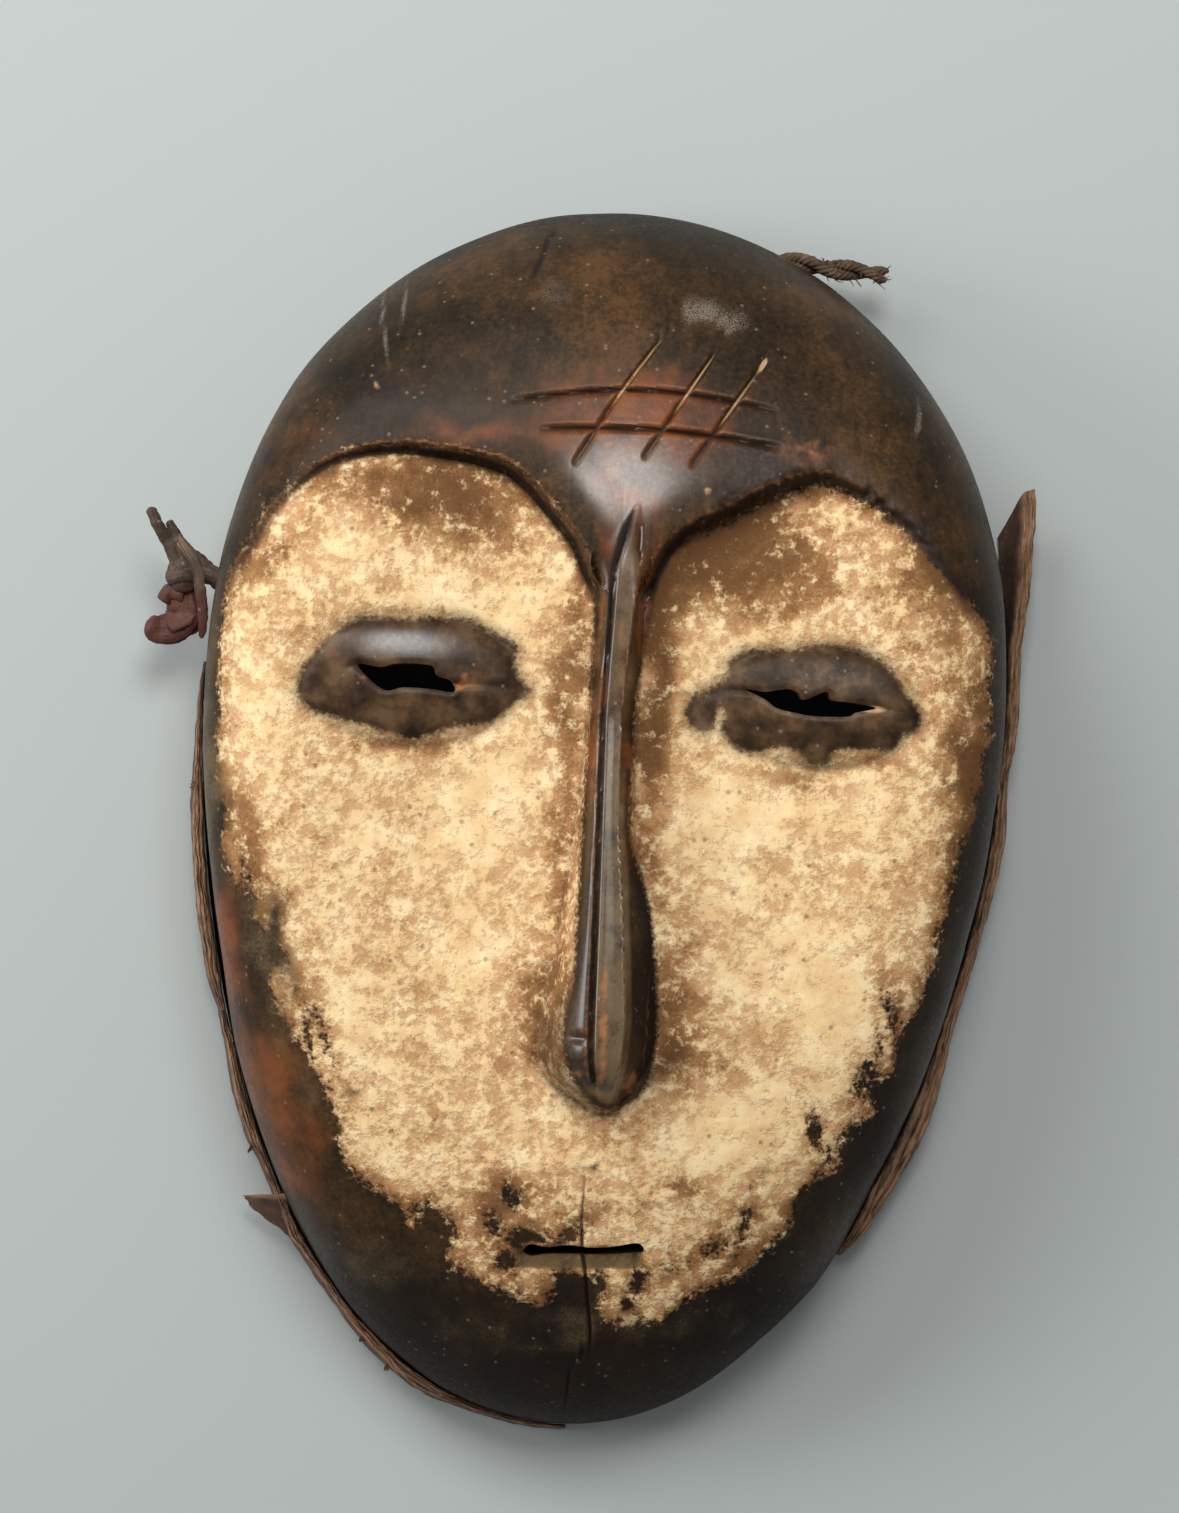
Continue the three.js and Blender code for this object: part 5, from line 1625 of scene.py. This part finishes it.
# %% The clay
clay = skin.attribute("clay")
near_edge = skin.plus(skin.span(clay, 0.0, 5.0, -0.2, 0.0), 0.15)
# The tone holds light and brown clay, and painted shade beside the nose and under the brow
clay_tone = skin.total(skin.times(skin.attribute("tone"), 0.22), (wide["Broad"], 0.6))
clay_tone = skin.plus(clay_tone, near_edge)
under_tone = skin.total(clay_tone, (small["Broad"], 0.5), (patches["Fine"], 0.3))
under_clay = skin.ramp(skin.span(under_tone, 0.45, 1.2), [
    (0.0, paint(106, 72, 42)), (0.22, paint(154, 111, 70)), (0.45, paint(196, 151, 106)),
    (0.7, paint(213, 170, 123)), (1.0, paint(229, 188, 141))])
flake_tone = skin.total(
    patches["Broad"], (clay_tone, 0.75), (small["Broad"], 0.2), (patches["Fine"], 0.35),
    (tiny["Broad"], 0.9))
flaked = skin.span(flake_tone, 1.39, 1.7, 0.0, 0.95)
pale_clay = skin.ramp(small["Broad"], [
    (0.3, paint(226, 186, 134)), (0.5, paint(241, 209, 157)), (0.68, paint(250, 227, 181))])
clay_colour = skin.mix(flaked, under_clay, pale_clay)
stains = skin.total(small["Fine"], (tiny["Fine"], 0.5))
clay_colour = skin.stain(clay_colour, stains, 0.84, 0.98, 0.5, paint(150, 106, 68))

# %% Clay over wood, then the eyes and the nose
clay_edge = skin.total(clay, (small["Fine"], 5.0), (tiny["Broad"], 4.0))
clay_mask = skin.span(clay_edge, 3.9, 5.3)
colour = skin.mix(clay_mask, wood_colour, clay_colour)
eye_edge = skin.total(skin.attribute("eye"), (small["Fine"], 3.0), (tiny["Broad"], 1.5))
colour = skin.stain(colour, eye_edge, -1.0, 2.6, 0.6, paint(100, 78, 50))
eye_mask = skin.span(eye_edge, 1.4, 2.8)
eye_colour = skin.ramp(small["Broad"], [
    (0.34, paint(38, 26, 17)), (0.5, paint(68, 49, 32)), (0.66, paint(100, 76, 52))])
colour = skin.mix(eye_mask, colour, eye_colour)
nose_mask = skin.span(skin.total(skin.attribute("nose"), (small["Fine"], 3.0)), 0.4, 1.7)
colour = skin.mix(nose_mask, colour, wood_colour)
not_clay = skin.math("SUBTRACT", 1.0, clay_mask)
bare = skin.math("MAXIMUM", not_clay, skin.plus(eye_mask, nose_mask, clamp=True))

# %% Olive film, worn tan, grime and painted shade, chips, dust and a painted sheen
film = skin.times(skin.attribute("olive"), small["Broad"])
film = skin.times(film, skin.times(patches["Fine"], 1.4))
colour = skin.stain(colour, film, 0.08, 0.6, 0.85, paint(102, 84, 56))
tan = skin.span(skin.times(skin.attribute("tan"), tiny["Broad"]), 0.08, 0.5)
colour = skin.mix(skin.times(tan, 0.8), colour, paint(166, 108, 64))
# Grime darkens the colour, and with it the painted shade under the brow and round the nose tip
grime_and_shade = skin.times(skin.attribute("grime_and_shade"), skin.plus(small["Fine"], 0.7))
# Hollows are darkened, as dirt and as painted shade
grime_and_shade = skin.plus(grime_and_shade, skin.times(skin.attribute("hollowed"), 0.9), clamp=True)
colour = skin.mix(skin.times(grime_and_shade, 0.92), colour, paint(34, 24, 18))
colour = skin.mix(skin.times(skin.specked(2.1, 0.12), 0.5), colour, paint(84, 58, 38))
colour = skin.stain(colour, skin.attribute("chip"), 0.3, 0.75, 1.0, paint(180, 146, 106))
broken = skin.span(tiny["Fine"], 0.42, 0.6, 0.28, 1.0)
# Grey dust, scratches and the painted sheen at the top edge, where the wood is bare
dust_and_sheen = skin.span(skin.times(skin.attribute("dust_and_sheen"), broken), 0.1, 0.7, 0.0, 0.6)
dust_and_sheen_mask = skin.times(skin.total(dust_and_sheen, (skin.specked(1.5, 0.07), 0.35)), bare, clamp=True)
colour = skin.mix(dust_and_sheen_mask, colour, paint(150, 140, 126))

# %% Gloss and fine relief of the painted wood
polish = skin.attribute("polish")
wood_rough = skin.span(small["Fine"], 0.3, 0.7, 0.34, 0.52)
wood_rough = skin.math("SUBTRACT", wood_rough, skin.span(polish, 0.0, 1.0, 0.0, 0.17))
wood_rough = skin.plus(wood_rough, skin.span(dark, 0.0, 1.0, 0.0, 0.25))
wood_rough = skin.total(wood_rough, (dust_and_sheen_mask, 0.5))
rough = skin.node("ShaderNodeMix", {0: bare, 2: 0.85, 3: wood_rough}, data_type="FLOAT").outputs[0]
skin.surface({
    "Base Color": colour, "Roughness": rough, "Specular IOR Level": 0.18, "Coat Roughness": 0.3,
    "Coat Weight": skin.span(skin.times(polish, bare), 0.1, 1.0, 0.0, 0.8)})
flakes = skin.times(flaked, skin.math("SUBTRACT", 1.0, bare))
crumb = skin.total(tiny["Broad"], (tiny["Fine"], 0.35))
crumb = skin.times(crumb, skin.span(bare, 0.0, 1.0, 1.0, 0.22))
skin.bump(skin.plus(skin.total(flakes, (streaks, 0.25)), crumb), 0.6, 0.0003)
print("painted wood:", len(painted_wood.node_tree.nodes), "nodes")

# %% Bare wood of the hollow, the rim and the slits
inner = Finish(bare_wood)
streaks = inner.grained(1.8, 10.0)
clouds = inner.mottled(14.0)
colour = inner.ramp(inner.times(streaks, clouds["Broad"]), [
    (0.1, paint(52, 36, 26)), (0.26, paint(98, 70, 48)), (0.45, paint(142, 108, 76))])
colour = inner.mix(inner.times(inner.specked(1.8, 0.14), 0.3), colour, paint(178, 160, 138))
inner.surface({"Base Color": colour, "Roughness": 0.68})
inner.bump(inner.plus(streaks, clouds["Fine"]), 0.5, 0.0005)
print("bare wood:", len(bare_wood.node_tree.nodes), "nodes")


# %% [markdown]
# ## Hide, thong and cord
# All three are fibre along a length, so they share one way of making a finish: fibres
# read from the piece's own fibre attribute, dark in the grooves and pale on the fibres. The
# hide strips also get a painted light along their top edge.

# %% Finishes with fibres
def fibre_finish(name, shades, width, roughness, depth, stretch, lit_top=None, low=None):
    """A finish with fibres that run along a piece. A top colour paints light on its upper
    edge. With low, it takes another colour below a place in y, as where the thong is stained."""
    material = bpy.data.materials.new(name)
    hide = Finish(material)
    strand = hide.node("ShaderNodeAttribute", attribute_name=FIBRE).outputs["Vector"]
    threads = hide.cloud(hide.squeezed(strand, (1 / stretch, 1.0, 1.0)), 1 / width, 5.0, 0.65)
    clouds = hide.mottled(6.0)
    colour = hide.ramp(hide.times(threads, clouds["Broad"]), list(zip((0.12, 0.27, 0.42), shades)))
    # Painted light on the upper edge
    if lit_top:
        edge = hide.times(hide.attribute(LIT_TOP_EDGE), hide.span(threads, 0.3, 0.6))
        colour = hide.mix(edge, colour, lit_top)
    if low:
        level, shade = low
        place_y = hide.node("ShaderNodeSeparateXYZ", {0: hide.place}).outputs[1]
        below = hide.span(place_y, (level - 2) * MM, (level + 2) * MM, 0.7, 0.0)
        colour = hide.mix(below, colour, shade)
    colour = hide.mix(hide.times(hide.specked(1.3, 0.12), 0.35), colour, paint(176, 156, 132))
    hide.surface({"Base Color": colour, "Roughness": roughness})
    hide.bump(hide.total(threads, (clouds["Fine"], 0.5)), 0.7, depth)
    return material


# The hide's top edge gets a painted light in a paler colour
hide_finish = fibre_finish(
    "dried_hide", (paint(62, 44, 33), paint(90, 64, 47), paint(116, 86, 63)), 0.8, 0.75, 0.0002, 5,
    lit_top=paint(160, 124, 94))
thong_finish = fibre_finish(
    "dried_thong", (paint(30, 23, 17), paint(78, 60, 45), paint(130, 102, 78)), 0.7, 0.6, 0.0005, 8,
    low=(44, paint(84, 34, 18)))
cord_finish = fibre_finish(
    "worn_cord", (paint(38, 28, 20), paint(92, 70, 50), paint(150, 120, 88)), 0.35, 0.85, 0.0003, 9)
print("finishes with fibres:", hide_finish.name, thong_finish.name, cord_finish.name)

# %% Fit the pieces to the frame
SLOTS = [
    (mask_piece, "mask", "carved_wood", None),
    (hide_pieces[0], "hide_band_right", "dried_hide", hide_finish),
    (hide_pieces[1], "hide_band_left", "dried_hide", hide_finish),
    (hide_pieces[2], "hide_band_chin", "dried_hide", hide_finish),
    (thong, "tie_left", "dried_hide", thong_finish),
    (cord, "tie_top", "twisted_fibre", cord_finish),
]
for piece, solid, slot, finish in SLOTS:
    if finish:
        piece.data.materials.append(finish)
    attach(piece, "root")
    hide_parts(solid)
    low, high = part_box(solid)
    own = read_places(piece.data)
    over = np.maximum(np.array(low) - own.min(0), own.max(0) - np.array(high)).max() / MM
    print(f"{piece.name}: {over:.1f} mm outside its solid's box at most")

# %% [markdown]
# ## Floor, light and camera
# The floor is plain and pale. Three square soft lights stand round the mask: one high over
# its top, which the brow and the upper lids catch, one at the upper left, and one low at
# the left that gives the nose its bright facet. The camera looks straight down, turned a
# little, as in the photograph.

# %% Floor
FLOOR_SIZE = 3
floor_bm = bmesh.new()
bmesh.ops.create_grid(floor_bm, x_segments=1, y_segments=1, size=FLOOR_SIZE)
floor = show("floor", to_mesh("floor", floor_bm))
floor_finish = bpy.data.materials.new("floor_finish")
Finish(floor_finish).surface({"Base Color": paint(176, 183, 182), "Roughness": 0.8})
floor.data.materials.append(floor_finish)
print("floor:", FLOOR_SIZE * 2, "m wide")

# %% Light
LIGHTS = [
    # name, place, size, power, tint
    ("overhead", (0.06, 0.57, 1.0), 0.4, 7.0, (1, 0.99, 0.97)),
    ("key_top_left", (-0.65, 0.8, 0.8), 0.6, 7.5, (1, 0.98, 0.95)),
    ("left_softbox", (-1.05, 0.1, 0.53), 0.45, 5, (1, 1, 1)),
]
AIM = (0, 0, 0.03)
for name, at, size, power, tint in LIGHTS:
    data = bpy.data.lights.new(name, "AREA")
    data.shape = "SQUARE"
    data.size = size
    data.energy = power
    data.color = tint
    light = show(name, data)
    light.location = at
    way = Vector(AIM) - light.location
    light.rotation_euler = way.to_track_quat("-Z", "Y").to_euler()
world = bpy.data.worlds.new("studio")
world.use_nodes = True
background = world.node_tree.nodes["Background"].inputs
background["Color"].default_value = (0.84, 0.84, 0.83, 1)
background["Strength"].default_value = 0.3
scene.world = world
scene.view_settings.view_transform = "Standard"
print(len(LIGHTS), "soft lights")

# %% Camera
CAMERA_AT = (0.00156, 0.0144, 0.9)
CAMERA_TURN = 3.3
LENS = 101.6
SENSOR = 36
camera_data = bpy.data.cameras.new("camera")
camera_data.lens = LENS
camera_data.sensor_fit = "VERTICAL"
camera_data.sensor_height = SENSOR
camera = show("camera", camera_data)
camera.location = CAMERA_AT
camera.rotation_euler = (0, 0, math.radians(CAMERA_TURN))
scene.camera = camera
print(f"camera {CAMERA_AT[2]} m above the floor, turned by {CAMERA_TURN} degrees")
